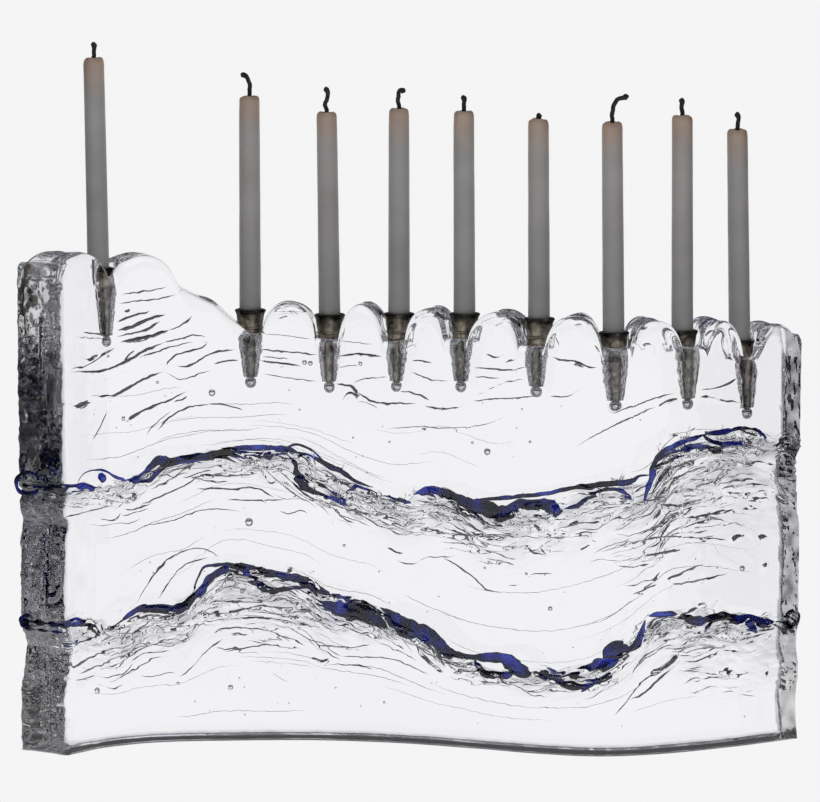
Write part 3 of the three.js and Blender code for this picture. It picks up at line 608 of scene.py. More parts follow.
def swept(s, d, z, thin, wide, lean, sides):
    """A closed strip of lens section along a line in the slab: thin across the line, wide in depth.

    Where the line runs level, lean raises the strip's far edge.
    """
    count = len(s)
    forward = np.stack([np.gradient(s), np.gradient(z)], -1)
    forward /= np.maximum(np.linalg.norm(forward, axis=1, keepdims=True), 1e-6)
    up = np.stack([-forward[:, 1], forward[:, 0]], -1)
    turn = np.linspace(0, -2 * np.pi, sides, endpoint=False)
    rise = thin[:, None] * np.cos(turn)
    reach = wide[:, None] * np.sin(turn)
    tilt = lean * up[:, 1]
    lean_cos, lean_sin = np.cos(tilt)[:, None], np.sin(tilt)[:, None]
    across = rise * lean_cos + reach * lean_sin
    deep = reach * lean_cos - rise * lean_sin
    points = in_frame(s[:, None] + up[:, :1] * across, d[:, None] + deep, z[:, None] + up[:, 1:] * across)
    return points.reshape(-1, 3), ring_faces(count, sides)


def turned(outline, sides, seat, wobble=None):
    """A turned shape round a seat's axis, from (radius, z) points whose ends are on the axis."""
    axis = np.array(seat["axis"])
    mouth = np.array(seat["mouth"])
    right = np.cross((0, 1, 0), axis)
    right /= np.linalg.norm(right)
    back = np.cross(axis, right)
    radius, z = np.array(outline, float).T
    turn = np.linspace(0, 2 * np.pi, sides, endpoint=False)
    radius = np.broadcast_to(radius[:, None], (len(z), sides))
    if wobble is not None:
        radius = radius * (1 + wobble(turn[None, :], z[:, None]))
    points = (mouth + axis * z[:, None, None]
              + right * (radius * np.cos(turn))[..., None]
              + back * (radius * np.sin(turn))[..., None])
    return MM * points.reshape(-1, 3), ring_faces(len(z), sides)


def arc(middle_r, middle_z, radius, start, end, steps):
    """Outline points round part of a circle, angles in degrees from outwards, anticlockwise."""
    angles = np.radians(np.linspace(start, end, steps + 1))
    return [(middle_r + radius * math.cos(a), middle_z + radius * math.sin(a)) for a in angles]


# ---- the casting ----

def graded(length, edge, edge_steps, step):
    """Places from 0 to length, closer together within edge of each end."""
    near = np.linspace(0, edge, edge_steps, endpoint=False)
    count = max(2, round((length - 2 * edge) / step))
    return np.concatenate([near, np.linspace(edge, length - edge, count), (length - near)[::-1]])


def rounded(a, b, radius):
    """Distances from two faces, moved onto the rounding where the faces meet."""
    to_a, to_b = np.clip(radius - a, 0, None), np.clip(radius - b, 0, None)
    near = (to_a > 0) & (to_b > 0)
    scale = np.where(near, radius / np.maximum(np.hypot(to_a, to_b), 1e-9), 1)
    return np.where(near, radius - to_a * scale, a), np.where(near, radius - to_b * scale, b)


def box_lattice(counts):
    """Lattice places on the faces of a box, with their quads facing out."""
    shell = np.zeros(counts, bool)
    for axis in range(3):
        for end in (0, -1):
            index = [slice(None)] * 3
            index[axis] = end
            shell[tuple(index)] = True
    ids = np.full(counts, -1)
    ids[shell] = np.arange(shell.sum())
    sides = [
        (ids[0], True), (ids[-1], False),
        (ids[:, 0], False), (ids[:, -1], True),
        (ids[:, :, 0], True), (ids[:, :, -1], False),
    ]
    faces = []
    for grid, flip in sides:
        quads = np.stack([grid[:-1, :-1], grid[1:, :-1], grid[1:, 1:], grid[:-1, 1:]], -1).reshape(-1, 4)
        faces.extend((quads[:, ::-1] if flip else quads).tolist())
    return np.argwhere(shell), faces


class Skin:
    """Laps and wrinkles of one face, as heights over x and z on a fine grid."""

    STEP = 0.25

    def __init__(self):
        self.x = np.arange(-172, 172, self.STEP)
        self.z = np.arange(-2, 214, self.STEP)
        self.height = np.zeros((len(self.z), len(self.x)))

    def lap(self, line, height, sharp, soft, seed):
        """A lap along a line of (x, z) points: steep on its lower side, easy on its upper one."""
        route = evenly(smooth_line(line, 6), 0.5)
        places = np.arange(len(route)) * 0.5
        route = route + np.stack([0 * places, 0.4 * noise(places / 4, seed, 0, seed)], -1)
        forward = np.gradient(route, axis=0)
        forward /= np.linalg.norm(forward, axis=1, keepdims=True)
        strength = height * taper(len(route)) * (0.75 + 0.6 * noise(places / 6, 0, seed, seed))
        reach = int(2.6 * soft / self.STEP)
        for (cx, cz), (fx, fz), top in zip(route, forward, strength):
            i, k = int((cx - self.x[0]) / self.STEP), int((cz - self.z[0]) / self.STEP)
            if min(i, k) < reach or i + reach >= len(self.x) or k + reach >= len(self.z):
                continue
            patch = np.s_[k - reach:k + reach + 1, i - reach:i + reach + 1]
            dx, dz = self.x[patch[1]] - cx, (self.z[patch[0]] - cz)[:, None]
            side, ahead = dz * fx - dx * fz, dx * fx + dz * fz
            shape = np.where(side > 0, np.exp(-np.abs(side) / soft), np.exp(-((side / sharp) ** 2)))
            shape = top * shape * np.exp(-((ahead / 0.8) ** 2))
            self.height[patch] = np.maximum(self.height[patch], shape)

    def at(self, x, z):
        i = np.clip((x - self.x[0]) / self.STEP, 0, len(self.x) - 2)
        k = np.clip((z - self.z[0]) / self.STEP, 0, len(self.z) - 2)
        i0, k0 = i.astype(int), k.astype(int)
        right, up = i - i0, k - k0
        h = self.height
        low = h[k0, i0] * (1 - right) + h[k0, i0 + 1] * right
        high = h[k0 + 1, i0] * (1 - right) + h[k0 + 1, i0 + 1] * right
        return low * (1 - up) + high * up


def evenly(route, step):
    """The same line with its points a step apart."""
    spacing = np.concatenate([[0], np.cumsum(np.linalg.norm(np.diff(route, axis=0), axis=1))])
    places = np.arange(0, spacing[-1], step)
    return np.stack([np.interp(places, spacing, route[:, i]) for i in range(route.shape[1])], -1)


def face_skins():
    """The laps of the front face and of the back: along the front's folds, and round the lobes."""
    front, back = Skin(), Skin()
    for i, (thick, _, line) in enumerate(FOLDS):
        front.lap(line, 0.5 * thick, 0.8, 1.8, 40 + i)
    for i in range(LOBE_ARCS):
        a, b = SEAT_X[1 + i % 7], SEAT_X[2 + i % 7]
        start = a + DRAW.uniform(7, 13)
        x = np.linspace(start, min(start + DRAW.uniform(6, 14), b - 6), 5)
        z = top_height(x) - DRAW.uniform(3.5, 8)
        DRAW.choice((front, back)).lap(list(zip(x, z)), DRAW.uniform(0.2, 0.45), 0.7, 1.4, 800 + i)
    return front, back


def relief(s, d, z, x, to_end, skins):
    """How far the skin stands out: slow waves, wrinkles under each joint, and rough broken ends."""
    side = np.sign(d) * 40
    skin = 0.10 * noise(s / 38, z / 30, side) + 0.05 * noise(s / 15, z / 9, side + 7)
    for joint, reach, seed in ((UPPER_JOINT, UPPER_WRINKLES, 3), (LOWER_JOINT, LOWER_WRINKLES, 4)):
        swirl = 2.2 * noise(s / 9, z / 9, side, seed + 5)
        below = height_at(joint, x) - z + swirl
        share = below / height_at(reach, x)
        patchy = np.clip(0.5 + 1.1 * noise(s / 17, z / 12, side, seed + 30), 0, 1)
        band = np.where(share > 0, np.exp(-1.3 * share**2), np.exp(-((below / 2) ** 2))) * patchy
        ridge = (1 - np.abs(2 * noise(s / 11, below / 3.4, side, seed))) ** 2
        fine = noise(s / 5, below / 2.0, side, seed + 10)
        skin += band * (1.1 * ridge + 0.5 * fine)
        skin -= 0.4 * bump(below, -1, 1.0) * (0.6 + 0.6 * noise(s / 12, side, 0, seed + 20))
    face_x = plan_at(s, d)[..., 0]
    flat = np.clip((np.abs(d) - HALF + 3) / 2, 0, 1)
    for face, laps in zip((d < 0, d > 0), skins):
        skin = skin + np.where(face, flat * laps.at(face_x, z), 0)
    broken = (0.5 * noise(s / 6, d / 6, z / 7, 31) + 0.28 * noise(s / 2.4, d / 2.4, z / 3, 32)
              + 0.3 * np.abs(noise(s / 4, d / 4, z / 3.4, 33)))
    broken = broken * np.where(s > LENGTH / 2, 0.55, 1)
    return skin + broken * np.exp(-to_end / 2.2) - 0.4 * np.exp(-to_end / 2.2)


def casting_shape():
    """Vertices and quads of the casting's outside."""
    s_axis = graded(LENGTH, 6, 8, SKIN_STEP)
    d_axis = graded(THICKNESS, TOP_EDGE_R + 1, 7, 1.4) - HALF
    z_axis = graded(GRID_HEIGHT, RIM_BAND, 9, SKIN_STEP * 0.75)
    lattice, faces = box_lattice((len(s_axis), len(d_axis), len(z_axis)))
    s, d, level = s_axis[lattice[:, 0]], d_axis[lattice[:, 1]], z_axis[lattice[:, 2]]
    x = centre_x(s)
    top = top_height(x)
    for seat_x in SEAT_X:
        top = top - NOTCH_DEPTH * bump(x, seat_x, NOTCH_WIDTH) * np.abs(d / HALF) ** 3
    top += 0.5 * noise(s / 9, d / 9, 0, 51)
    z = RIM_BAND + (level - RIM_BAND) / (GRID_HEIGHT - 2 * RIM_BAND) * (top - 2 * RIM_BAND)
    z = np.where(level > GRID_HEIGHT - RIM_BAND, top - (GRID_HEIGHT - level), z)
    z = np.where(level <= RIM_BAND, level, z)

    face, end = HALF - np.abs(d), np.minimum(s, LENGTH - s)
    under, foot = top - z, z
    face, under = rounded(face, under, TOP_EDGE_R)
    end, under = rounded(end, under, SHOULDER_R)
    face, foot = rounded(face, foot, FOOT_EDGE_R)
    end, foot = rounded(end, foot, FOOT_EDGE_R)
    face, end = rounded(face, end, CORNER_R)
    s = np.where(s < LENGTH / 2, end, LENGTH - end)
    d = np.sign(d) * (HALF - face)
    z = np.where(level > GRID_HEIGHT / 2, top - under, foot)

    out_d = np.sign(d) * np.clip(1 - face / TOP_EDGE_R, 0, 1)
    out_s = np.where(s < LENGTH / 2, -1, 1) * np.clip(1 - end / SHOULDER_R, 0, 1)
    out_z = np.clip(1 - under / TOP_EDGE_R, 0, 1) - np.clip(1 - foot / FOOT_EDGE_R, 0, 1)
    size = np.sqrt(out_s**2 + out_d**2 + out_z**2)
    amount = relief(s, d, z, x, end, face_skins()) / np.maximum(size, 1e-6)
    amount = np.where(foot < 0.01, 0, amount)
    s, d, z = s + out_s * amount, d + out_d * amount, z + out_z * amount
    left = np.exp(-np.clip(s, 0, None) / INSET_REACH) * height_at(LEFT_INSET, z)
    right = np.exp(-np.clip(LENGTH - s, 0, None) / INSET_REACH) * height_at(RIGHT_INSET, z)
    s = s + left - right
    d = np.clip(d, -HALF - 1.2, HALF + 1.2)
    z = np.maximum(z, 0)
    return in_frame(s, d, z), faces


def finely(outline, step):
    """The same outline with its long straight stretches divided."""
    fine = [outline[0]]
    for a, b in zip(outline, outline[1:]):
        parts = max(1, round(math.dist(a, b) / step))
        run, rise = b[0] - a[0], b[1] - a[1]
        fine += [(a[0] + run * k / parts, a[1] + rise * k / parts) for k in range(1, parts + 1)]
    return fine


def socket_outline():
    """A round bulb under the shank's tip, a tapered wall, and a dish that clears the lip."""
    bulb = arc(0, TIP_Z - 2.1, 2.5, -90, 55, 8)
    wall = [bulb[-1], (3.1, TIP_Z + 0.3), (4.0, TIP_Z + 6), (4.8, TIP_Z + 12), (5.35, -2.6), (5.6, 0)]
    wall = finely(wall, 0.8)
    return [(0, bulb[0][1]), *bulb[1:], *wall[1:], (6.3, 1.0), (6.9, 2.4), (7.2, 5), (7.2, 40), (0, 40)]


def cut_sockets(casting):
    """Sinks the nine tapered sockets into the casting."""
    cutter_shape = Bundle()
    for i, seat in enumerate(SEATS):
        def mottle(turn, z, i=i):
            amount = np.where((z < 0) & (z > TIP_Z), 0.06, 0.0)
            return amount * noise(np.cos(turn) * 3.4, np.sin(turn) * 3.4, z / 1.8, 60 + i)
        cutter_shape.add(*turned(socket_outline(), 44, seat, mottle))
    cutter = new_piece("socket_cutter", cutter_shape.all_points(), cutter_shape.faces, None, None)
    cut = casting.modifiers.new("sockets", "BOOLEAN")
    cut.solver = "MANIFOLD"
    cut.operation = "DIFFERENCE"
    cut.object = cutter
    bpy.context.view_layer.update()
    shaped = bpy.data.meshes.new_from_object(casting.evaluated_get(bpy.context.evaluated_depsgraph_get()))
    casting.modifiers.clear()
    casting.data = shaped
    bpy.data.objects.remove(cutter)


def taper(count):
    """1 along a strip, and down to almost nothing at both ends."""
    f = np.linspace(0, 1, count)
    return np.clip(np.sin(np.pi * f) * 2.2, 0.03, 1)


def add_fold(voids, line, depth, thick, seed):
    """A sheet of trapped air along a line of (x, z) points, which looks as thick as asked from the front."""
    x, z = evenly(smooth_line(line, 6), 1.0).T
    count = len(x)
    if count < 3:
        return
    places = np.arange(count)
    z = z + 0.3 * noise(places / 2.6, depth, 0, seed)
    d = depth + 1.4 * noise(places / 11, 0, depth, seed + 1)
    swell = (1 + 0.3 * noise(places / 3.5, depth, 1, seed + 2)) * taper(count)
    lean = LEAN + 0.03 * noise(places / 9, 2, depth, seed + 3)
    wide = np.minimum(2.2 * (thick - 0.1) * swell, HALF - 1.2 - np.abs(d))
    voids.add(*swept(station_at(x, d), d, z, (0.03 + 0.1 * thick) * swell, wide, lean, 6), inward=True)


def clear_of_seats(x, z):
    """Whether a place in the slab is well away from every socket."""
    return all(abs(x - seat_x) > 8 or z < seat["mouth"].z - 29 for seat_x, seat in zip(SEAT_X, SEATS))


def joint_folds(voids):
    """Short wrinkles frozen into the skin of each course under the next one."""
    for joint, reach, seed in ((UPPER_JOINT, UPPER_WRINKLES, 200), (LOWER_JOINT, LOWER_WRINKLES, 900)):
        for i in range(JOINT_FOLDS):
            middle, length = DRAW.uniform(-140, 140), DRAW.uniform(4, 26)
            deep = height_at(reach, middle)
            if DRAW.random() > 0.25 + deep / 36:
                continue
            drop = 1.5 + abs(DRAW.gauss(0, 0.6)) * deep
            x = np.linspace(max(middle - length / 2, -142), min(middle + length / 2, 142), 5)
            z = height_at(joint, x) - drop + DRAW.gauss(0, 0.15) * (x - middle) + 2 * noise(x / 8, i, 0, seed)
            add_fold(voids, list(zip(x, z)), DRAW.uniform(-9, 7), DRAW.uniform(0.22, 0.75), seed + i)


def drift_folds(voids):
    """Long faint flow lines through the body of each course."""
    for i in range(DRIFT_FOLDS):
        middle, length = DRAW.uniform(-130, 130), DRAW.uniform(25, 90)
        x = np.linspace(max(middle - length / 2, -142), min(middle + length / 2, 142), 9)
        share = DRAW.uniform(-0.9, 2)
        lower, upper = height_at(LOWER_JOINT, x), height_at(UPPER_JOINT, x)
        if share < 0:
            z = lower * (1 + share)
        elif share < 1:
            z = lower + (upper - lower) * share
        else:
            z = upper + (share - 1) * (158 - upper)
        z = z + 1.8 * noise(x / 30, i, 3, 77)
        if all(clear_of_seats(a, b) for a, b in zip(x, z)) and z.min() > 5:
            add_fold(voids, list(zip(x, z)), DRAW.uniform(-8, 8), DRAW.uniform(0.16, 0.3), 1700 + i)


def add_bubble(voids, x, z, depth, diameter, rings=8, sides=12):
    middle = in_frame(station_at(x, depth), depth, z) / MM
    seat = {"axis": Vector((0, 0, 1)), "mouth": Vector(middle)}
    r = diameter / 2
    outline = [(0, -r), *arc(0, 0, r, -90, 90, rings)[1:-1], (0, r)]
    voids.add(*turned(outline, sides, seat), inward=True)


def rim_folds(voids):
    """Dark arcs just under the top of each lobe."""
    for i in range(RIM_FOLDS):
        a, b = SEAT_X[1 + i % 7], SEAT_X[2 + i % 7]
        row = i // 7
        margin = 7.5 + 1.5 * row
        x = np.linspace(a + margin + DRAW.uniform(0, 2 * row), b - margin - DRAW.uniform(0, 2 * row), 9)
        z = top_height(x) - 1.4 - 1.2 * row - DRAW.uniform(0, 0.4)
        add_fold(voids, list(zip(x, z)), DRAW.choice((-7, -6, 5, 6)), RIM_THICKNESS[row], 2500 + i)


def bubbles(voids):
    for x, z, diameter in BUBBLES:
        add_bubble(voids, x, z, DRAW.uniform(-8, -2), diameter, 10, 18)
    for _ in range(SMALL_BUBBLES):
        x, z = DRAW.uniform(-138, 138), DRAW.uniform(8, 150)
        if clear_of_seats(x, z):
            add_bubble(voids, x, z, DRAW.uniform(-9, 9), DRAW.uniform(0.3, 0.9))


def trapped_air():
    """Every fold and bubble, as closed shapes that face inwards."""
    voids = Bundle()
    for i, (thick, depth, line) in enumerate(FOLDS):
        add_fold(voids, line, depth, thick, 100 + i)
    joint_folds(voids)
    drift_folds(voids)
    rim_folds(voids)
    bubbles(voids)
    return voids


def build_casting():
    points, faces = casting_shape()
    glass = clear_glass()
    casting = new_piece("cast_glass_body", points, faces, glass, "glass",
                        ("glass_lower_course", "glass_middle_course", "glass_upper_course"))
    cut_sockets(casting)
    voids = trapped_air()
    hollow = new_piece("trapped_air", voids.all_points(), voids.faces, glass, None)
    join([casting, hollow])
    casting.data.shade_smooth()
    casting.data.set_sharp_from_angle(angle=math.radians(50))
    points = np.empty(3 * len(casting.data.vertices), np.float32)
    casting.data.vertices.foreach_get("co", points)
    points = points.reshape(-1, 3) / MM
    # Painted shade on the ends, the foot's edge and the strip by the right end.
    add_mask(casting, "end_shade", end_shade(points))
    add_mask(casting, "socket_wall_darkening", socket_wall_darkening(points))
    # Painted shade under each joint, standing for dense tiny wrinkles.
    add_mask(casting, "painted_wrinkle_shade", painted_wrinkle_shade(points))
    casting.visible_shadow = False
    casting.visible_diffuse = False


def end_shade(points):
    """Painted shade on the ends and on the foot's edge: how dark the glass is made there.

    A strip of the front face by the right end is darkened too. It imitates how that end looks
    through the glass from the photograph's side, and it is fixed to the glass.
    """
    plan = points[:, :2] - SHIFT
    to_left = (plan - SPINE[0]) @ HEADINGS[0] - height_at(LEFT_INSET, points[:, 2])
    to_right = (SPINE[-1] - plan) @ HEADINGS[-1] - height_at(RIGHT_INSET, points[:, 2])
    patchy = 1 + 0.3 * noise(plan[:, 0] / 5, plan[:, 1] / 5, points[:, 2] / 6, 91)
    left = np.clip(1.6 - to_left / 2, 0, 1) * height_at(LEFT_SHADE, points[:, 2])
    edge = RIGHT_REACH + 0.3 * noise(points[:, 2] / 4, 0, 0, 92)
    behind = (plan - SPINE[-1]) @ np.array([-HEADINGS[-1][1], HEADINGS[-1][0]])
    shown = (behind < 2 - HALF) | (to_right < 1.5)
    right = np.clip(edge - to_right, 0, 1) * shown * height_at(RIGHT_SHADE, points[:, 2])
    # painted shade along the foot's ground edge
    foot = FOOT_SHADE * np.clip(1.9 - points[:, 2], 0, 1)
    return np.clip(np.maximum.reduce([left, right, foot]) * patchy, 0, 1)


def painted_wrinkle_shade(points):
    """Painted shade under each joint: grey patches in the skin that stand for the shading of dense tiny
    wrinkles.
    """
    x = points[:, 0] - SHIFT[0]
    z = points[:, 2]
    amount = np.zeros(len(points))
    for joint, reach, seed in ((UPPER_JOINT, UPPER_WRINKLES, 95), (LOWER_JOINT, LOWER_WRINKLES, 96)):
        below = height_at(joint, x) - z
        share = below / height_at(reach, x)
        band = np.where(below > 0.5, np.exp(-1.6 * share**2), 0)
        streaks = noise(x / 7, below / 1.8, points[:, 1] / 12, seed)
        streaks = streaks + 0.5 * noise(x / 20, z / 9, 0, seed + 10)
        amount = np.maximum(amount, band * np.clip(0.4 + 1.4 * streaks, 0, 1))
    return amount


def socket_wall_darkening(points):
    """1 on the walls of the sockets, and 0 elsewhere."""
    stain = np.zeros(len(points))
    for seat in SEATS:
        away = points - np.array(seat["mouth"])
        up = away @ np.array(seat["axis"])
        out = np.linalg.norm(away - up[:, None] * np.array(seat["axis"]), axis=1)
        stain = np.where((out < 6.2) & (up < 0.5) & (up > TIP_Z - 6), 1, stain)
    return stain


def join(pieces):
    """Joins the later pieces into the first."""
    with bpy.context.temp_override(active_object=pieces[0], selected_editable_objects=pieces,
                                   selected_objects=pieces):
        bpy.ops.object.join()


# ---- cobalt trails ----

def add_trail(bundle, depth, line, seed):
    """One strand along a line of (x, z, radius) points, uneven in thickness and depth."""
    x, z, r = evenly(smooth_line([(x, z, 4 * r) for x, z, r in line], 8), 0.8).T
    places = 0.8 * np.arange(len(x))
    r = r / 4 * (1.08 + 0.2 * noise(places / 3.2, depth, 0, seed)) * taper(len(x)) ** 0.5
    z = z + 0.2 * noise(places / 4, 5, depth, seed + 1)
    d = depth + 1.5 * noise(places / 16, 0, depth, seed + 2)
    wide = np.minimum(r, 1.3 + 0.35 * r) * (1 + 0.3 * noise(places / 7, 3, 0, seed + 3))
    bundle.add(*swept(station_at(x, d), d, z, r, wide, 0.3 * noise(places / 12, 4, 0, seed + 4), 14))


def add_end_loop(bundle, end, depth, height, size, radius):
    """A ring that leaves an end of the slab and comes back into it."""
    turn = np.linspace(-0.93 * np.pi, 0.93 * np.pi, 40)
    out = 0.35 * size + 0.75 * size * np.cos(turn) - 1.5
    s, outward = (-out, -1) if end == "left" else (LENGTH + out, 1)
    z = height + size * np.sin(turn) + 0.2 * np.sin(3 * turn)
    d = depth - outward * 0.65 * size * np.cos(turn)
    r = radius * (1 + 0.2 * np.sin(5 * turn)) * taper(len(turn)) ** 0.3
    bundle.add(*swept(s, d, z, r, r, 0 * r, 12))


def add_end_bead(bundle, end, height, radius, seed):
    """A bead that lies across an end of the slab, half sunk in it."""
    inset = height_at(LEFT_INSET if end == "left" else RIGHT_INSET, height)
    s = inset + 0.3 if end == "left" else LENGTH - inset - 0.3
    start, finish = (in_frame(s, d, height) / MM for d in (1.5 - HALF, HALF - 1.5))
    length = np.linalg.norm(finish - start)
    seat = {"axis": Vector((finish - start) / length), "mouth": Vector(start)}
    places = np.linspace(0, length, 26)[1:-1]
    swelling = [(radius * (0.8 + 0.5 * math.sin(seed + 0.9 * a)), a) for a in places]

    def drawn(turn, place):
        return 0.35 * noise(np.cos(turn), np.sin(turn) + place / 3, 0, seed)
    bundle.add(*turned([(0, 0), *swelling, (0, length)], 12, seat, drawn))


def build_trails(name, trails, end, node, material):
    bundle = Bundle()
    for i, (depth, line) in enumerate(trails):
        add_trail(bundle, depth, line, 300 + 10 * i)
    for loop in END_LOOPS[end]:
        add_end_loop(bundle, *loop)
    for i, bead in enumerate(END_BEADS[end]):
        add_end_bead(bundle, *bead, 40 + i)
    new_piece(name, bundle.all_points(), bundle.faces, material, "glass", (node,))


# ---- cups, candles and wicks ----

def cup_outline():
    lip = arc(LIP_R - 0.6, LIP_Z - 0.6, 0.6, -70, 110, 7)
    bead = arc(5.0, 0.6, 0.45, -80, 80, 5)
    return [
        (0, TIP_Z), (1.9, TIP_Z), (2.4, TIP_Z + 0.3), (2.6, TIP_Z + 0.9),
        (3.1, TIP_Z + 6), (3.65, TIP_Z + 11.5),
        (4.15, -4.4), (4.4, -3.7), (4.8, -2.9), (5.0, -2.2), (5.0, -0.4), *bead, (5.15, 1.5), (5.5, 3.6),
        (5.75, 5.4), (5.8, LIP_Z - 2.0), (6.1, LIP_Z - 1.6), *lip,
        (BORE_R + 0.5, LIP_Z), (BORE_R + 0.1, LIP_Z - 0.5), (BORE_R, LIP_Z - 1.2),
        (BORE_R, FLOOR_Z + 0.4), (BORE_R - 0.4, FLOOR_Z), (0, FLOOR_Z),
    ]


def build_cup(seat, i, material):
    def hand_made(turn, z):
        beaten = 0.022 * noise(np.cos(turn) * 1.3, np.sin(turn) * 1.3, z / 5, 400 + i)
        return np.where(z > FLOOR_Z + 0.1, beaten - 0.012, -0.01)
    points, faces = turned(finely(cup_outline(), 1.0), 56, seat, hand_made)
    piece = new_piece(f"{seat['name']}_turned_cup", points, faces, material, f"{seat['name']}_cup",
                      (f"{seat['name']}_cup",))
    above = (points / MM - np.array(seat["mouth"])) @ np.array(seat["axis"])
    add_mask(piece, "soot", np.clip((above - 1.0) / 6, 0, 1))


def candle_top(seat):
    """Height of the candle's top along the seat's axis, from the socket's mouth."""
    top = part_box(f"{seat['name']}_candle")[1].z
    return top / MM / seat["axis"].z - seat["mouth"].z / seat["axis"].z


def build_candle(seat, i, material):
    top = candle_top(seat)
    outline = [(0, FLOOR_Z + 0.3), (4.0, FLOOR_Z + 0.3), (CANDLE_FOOT_R, FLOOR_Z + 0.8),
               (CANDLE_FOOT_R, LIP_Z - 1.5)]
    for z in np.linspace(LIP_Z - 0.5, top - 3.2, 20):
        outline.append((CANDLE_R - CANDLE_TAPER * (z / top), z))
    outline += [(4.16, top - 2.2), (4.06, top - 1.4), (3.8, top - 0.7), (3.3, top - 0.25), (2.7, top),
                (2.1, top - 0.15), (1.5, top - 0.6), (1.1, top - 1.0), (1.0, top - 2), (0, top - 2.2)]

    def waxy(turn, z):
        near_top = np.clip((z - top + 9) / 9, 0, 1)
        dents = noise(np.cos(turn) * 0.8, np.sin(turn) * 0.8, z / 16, 500 + i)
        melted = noise(np.cos(turn) * 1.7, np.sin(turn) * 1.7, z / 3, 520 + i)
        return 0.012 * dents + 0.05 * near_top * melted
    points, faces = turned(outline, 48, seat, waxy)
    slump = 0.5 * noise(points[:, 0] / MM / 4, points[:, 1] / MM / 4, 0, 540 + i)
    near = np.clip((points[:, 2] / MM - seat["mouth"].z - top + 5) / 5, 0, 1)
    points[:, 2] += MM * (slump - 0.45) * near
    piece = new_piece(f"{seat['name']}_wax_candle", points, faces, material, f"{seat['name']}_candle",
                      (f"{seat['name']}_candle",))
    add_mask(piece, "burnt_end", np.clip(1 - (top - (points[:, 2] / MM - seat["mouth"].z)) / 16, 0, 1))
    # Painted shade mask: 1 at the cup's lip, fading out 60 mm up the candle.
    add_mask(piece, "foot", np.clip(1 - (points[:, 2] / MM - seat["mouth"].z - LIP_Z) / 60, 0, 1))


def add_mask(piece, name, values):
    mask = piece.data.attributes.new(name, "FLOAT", "POINT")
    mask.data.foreach_set("value", np.asarray(values, np.float32))


def build_wick(seat, i, material):
    """A braided wick: three lobes that twist round its line."""
    top = candle_top(seat)
    line = smooth_line([(0, top + WICK_FOOT), (0, top), *[(x, top + up) for x, up in WICKS[i]]], 10)
    spacing = np.concatenate([[0], np.cumsum(np.linalg.norm(np.diff(line, axis=0), axis=1))])
    count = int(spacing[-1] / 0.28)
    places = np.linspace(0, spacing[-1], count)
    x, z = (np.interp(places, spacing, line[:, k]) for k in (0, 1))
    forward = np.stack([np.gradient(x), np.gradient(z)], -1)
    forward /= np.linalg.norm(forward, axis=1, keepdims=True)
    sides = 18
    turn = np.linspace(0, 2 * np.pi, sides, endpoint=False)
    twist = places[:, None] * 1.7
    end = np.clip((places[-1] - places) / 0.8, 0.25, 1) ** 0.5
    burnt = 1 + 0.35 * bump(places, places[-1] - 1.2, 1.1)
    r = WICK_R * 0.86 * (end * burnt)[:, None] * (1 + 0.16 * np.cos(3 * turn - twist))
    r = r * (1 + 0.12 * noise(places[:, None] * 1.5, np.cos(turn), np.sin(turn), 560 + i))
    axis, mouth = np.array(seat["axis"]), np.array(seat["mouth"])
    right = np.cross((0, 1, 0), axis)
    side_x = x[:, None] + forward[:, 1:] * r * np.cos(turn)
    side_z = z[:, None] - forward[:, :1] * r * np.cos(turn)
    points = (mouth + right * side_x[..., None] + axis * side_z[..., None]
              + np.array((0, 1, 0)) * (r * np.sin(turn))[..., None])
    faces = ring_faces(count, sides)
    new_piece(f"{seat['name']}_braided_wick", MM * points.reshape(-1, 3), faces, material,
              f"{seat['name']}_candle", (f"{seat['name']}_wick",))


# ---- materials ----

class Nodes:
    """A short way to write a material's nodes."""

    def __init__(self, name):
        self.material = bpy.data.materials.new(name)
        self.material.use_nodes = True
        self.tree = self.material.node_tree
        self.shader = self.tree.nodes["Principled BSDF"]

    def add(self, kind, **values):
        node = self.tree.nodes.new(kind)
        for key, value in values.items():
            if key in node.inputs:
                node.inputs[key].default_value = value
            else:
                setattr(node, key, value)
        return node

    def link(self, source, target):
        self.tree.links.new(source, target)

    def texture(self, scale, detail=4.0, distortion=0.0):
        place = self.add("ShaderNodeTexCoord").outputs["Object"]
        node = self.add("ShaderNodeTexNoise", Scale=scale, Detail=detail, Distortion=distortion)
        self.link(place, node.inputs["Vector"])
        return node.outputs[0]

    def ramp(self, source, *stops):
        node = self.add("ShaderNodeValToRGB")
        ramp = node.color_ramp
        while len(ramp.elements) < len(stops):
            ramp.elements.new(0.5)
        for element, (position, colour) in zip(ramp.elements, stops):
            element.position = position
            element.color = (*colour, 1)
        self.link(source, node.inputs["Fac"])
        return node.outputs["Color"]

    def spread(self, source, low, high):
        node = self.add("ShaderNodeMapRange")
        node.inputs["To Min"].default_value = low
        node.inputs["To Max"].default_value = high
        self.link(source, node.inputs["Value"])
        return node.outputs["Result"]

    def mix(self, share, a, b):
        node = self.add("ShaderNodeMix", data_type="RGBA")
        self.link(share, node.inputs[0])
        self.link(a, node.inputs[6])
        self.link(b, node.inputs[7])
        return node.outputs[2]

    def mask(self, name):
        return self.add("ShaderNodeAttribute", attribute_name=name).outputs["Fac"]

    def bump(self, source, strength, distance):
        node = self.add("ShaderNodeBump", Strength=strength, Distance=distance)
        self.link(source, node.inputs["Height"])
        self.link(node.outputs["Normal"], self.shader.inputs["Normal"])

    def set(self, **values):
        for key, value in values.items():
            self.shader.inputs[key.replace("_", " ")].default_value = value


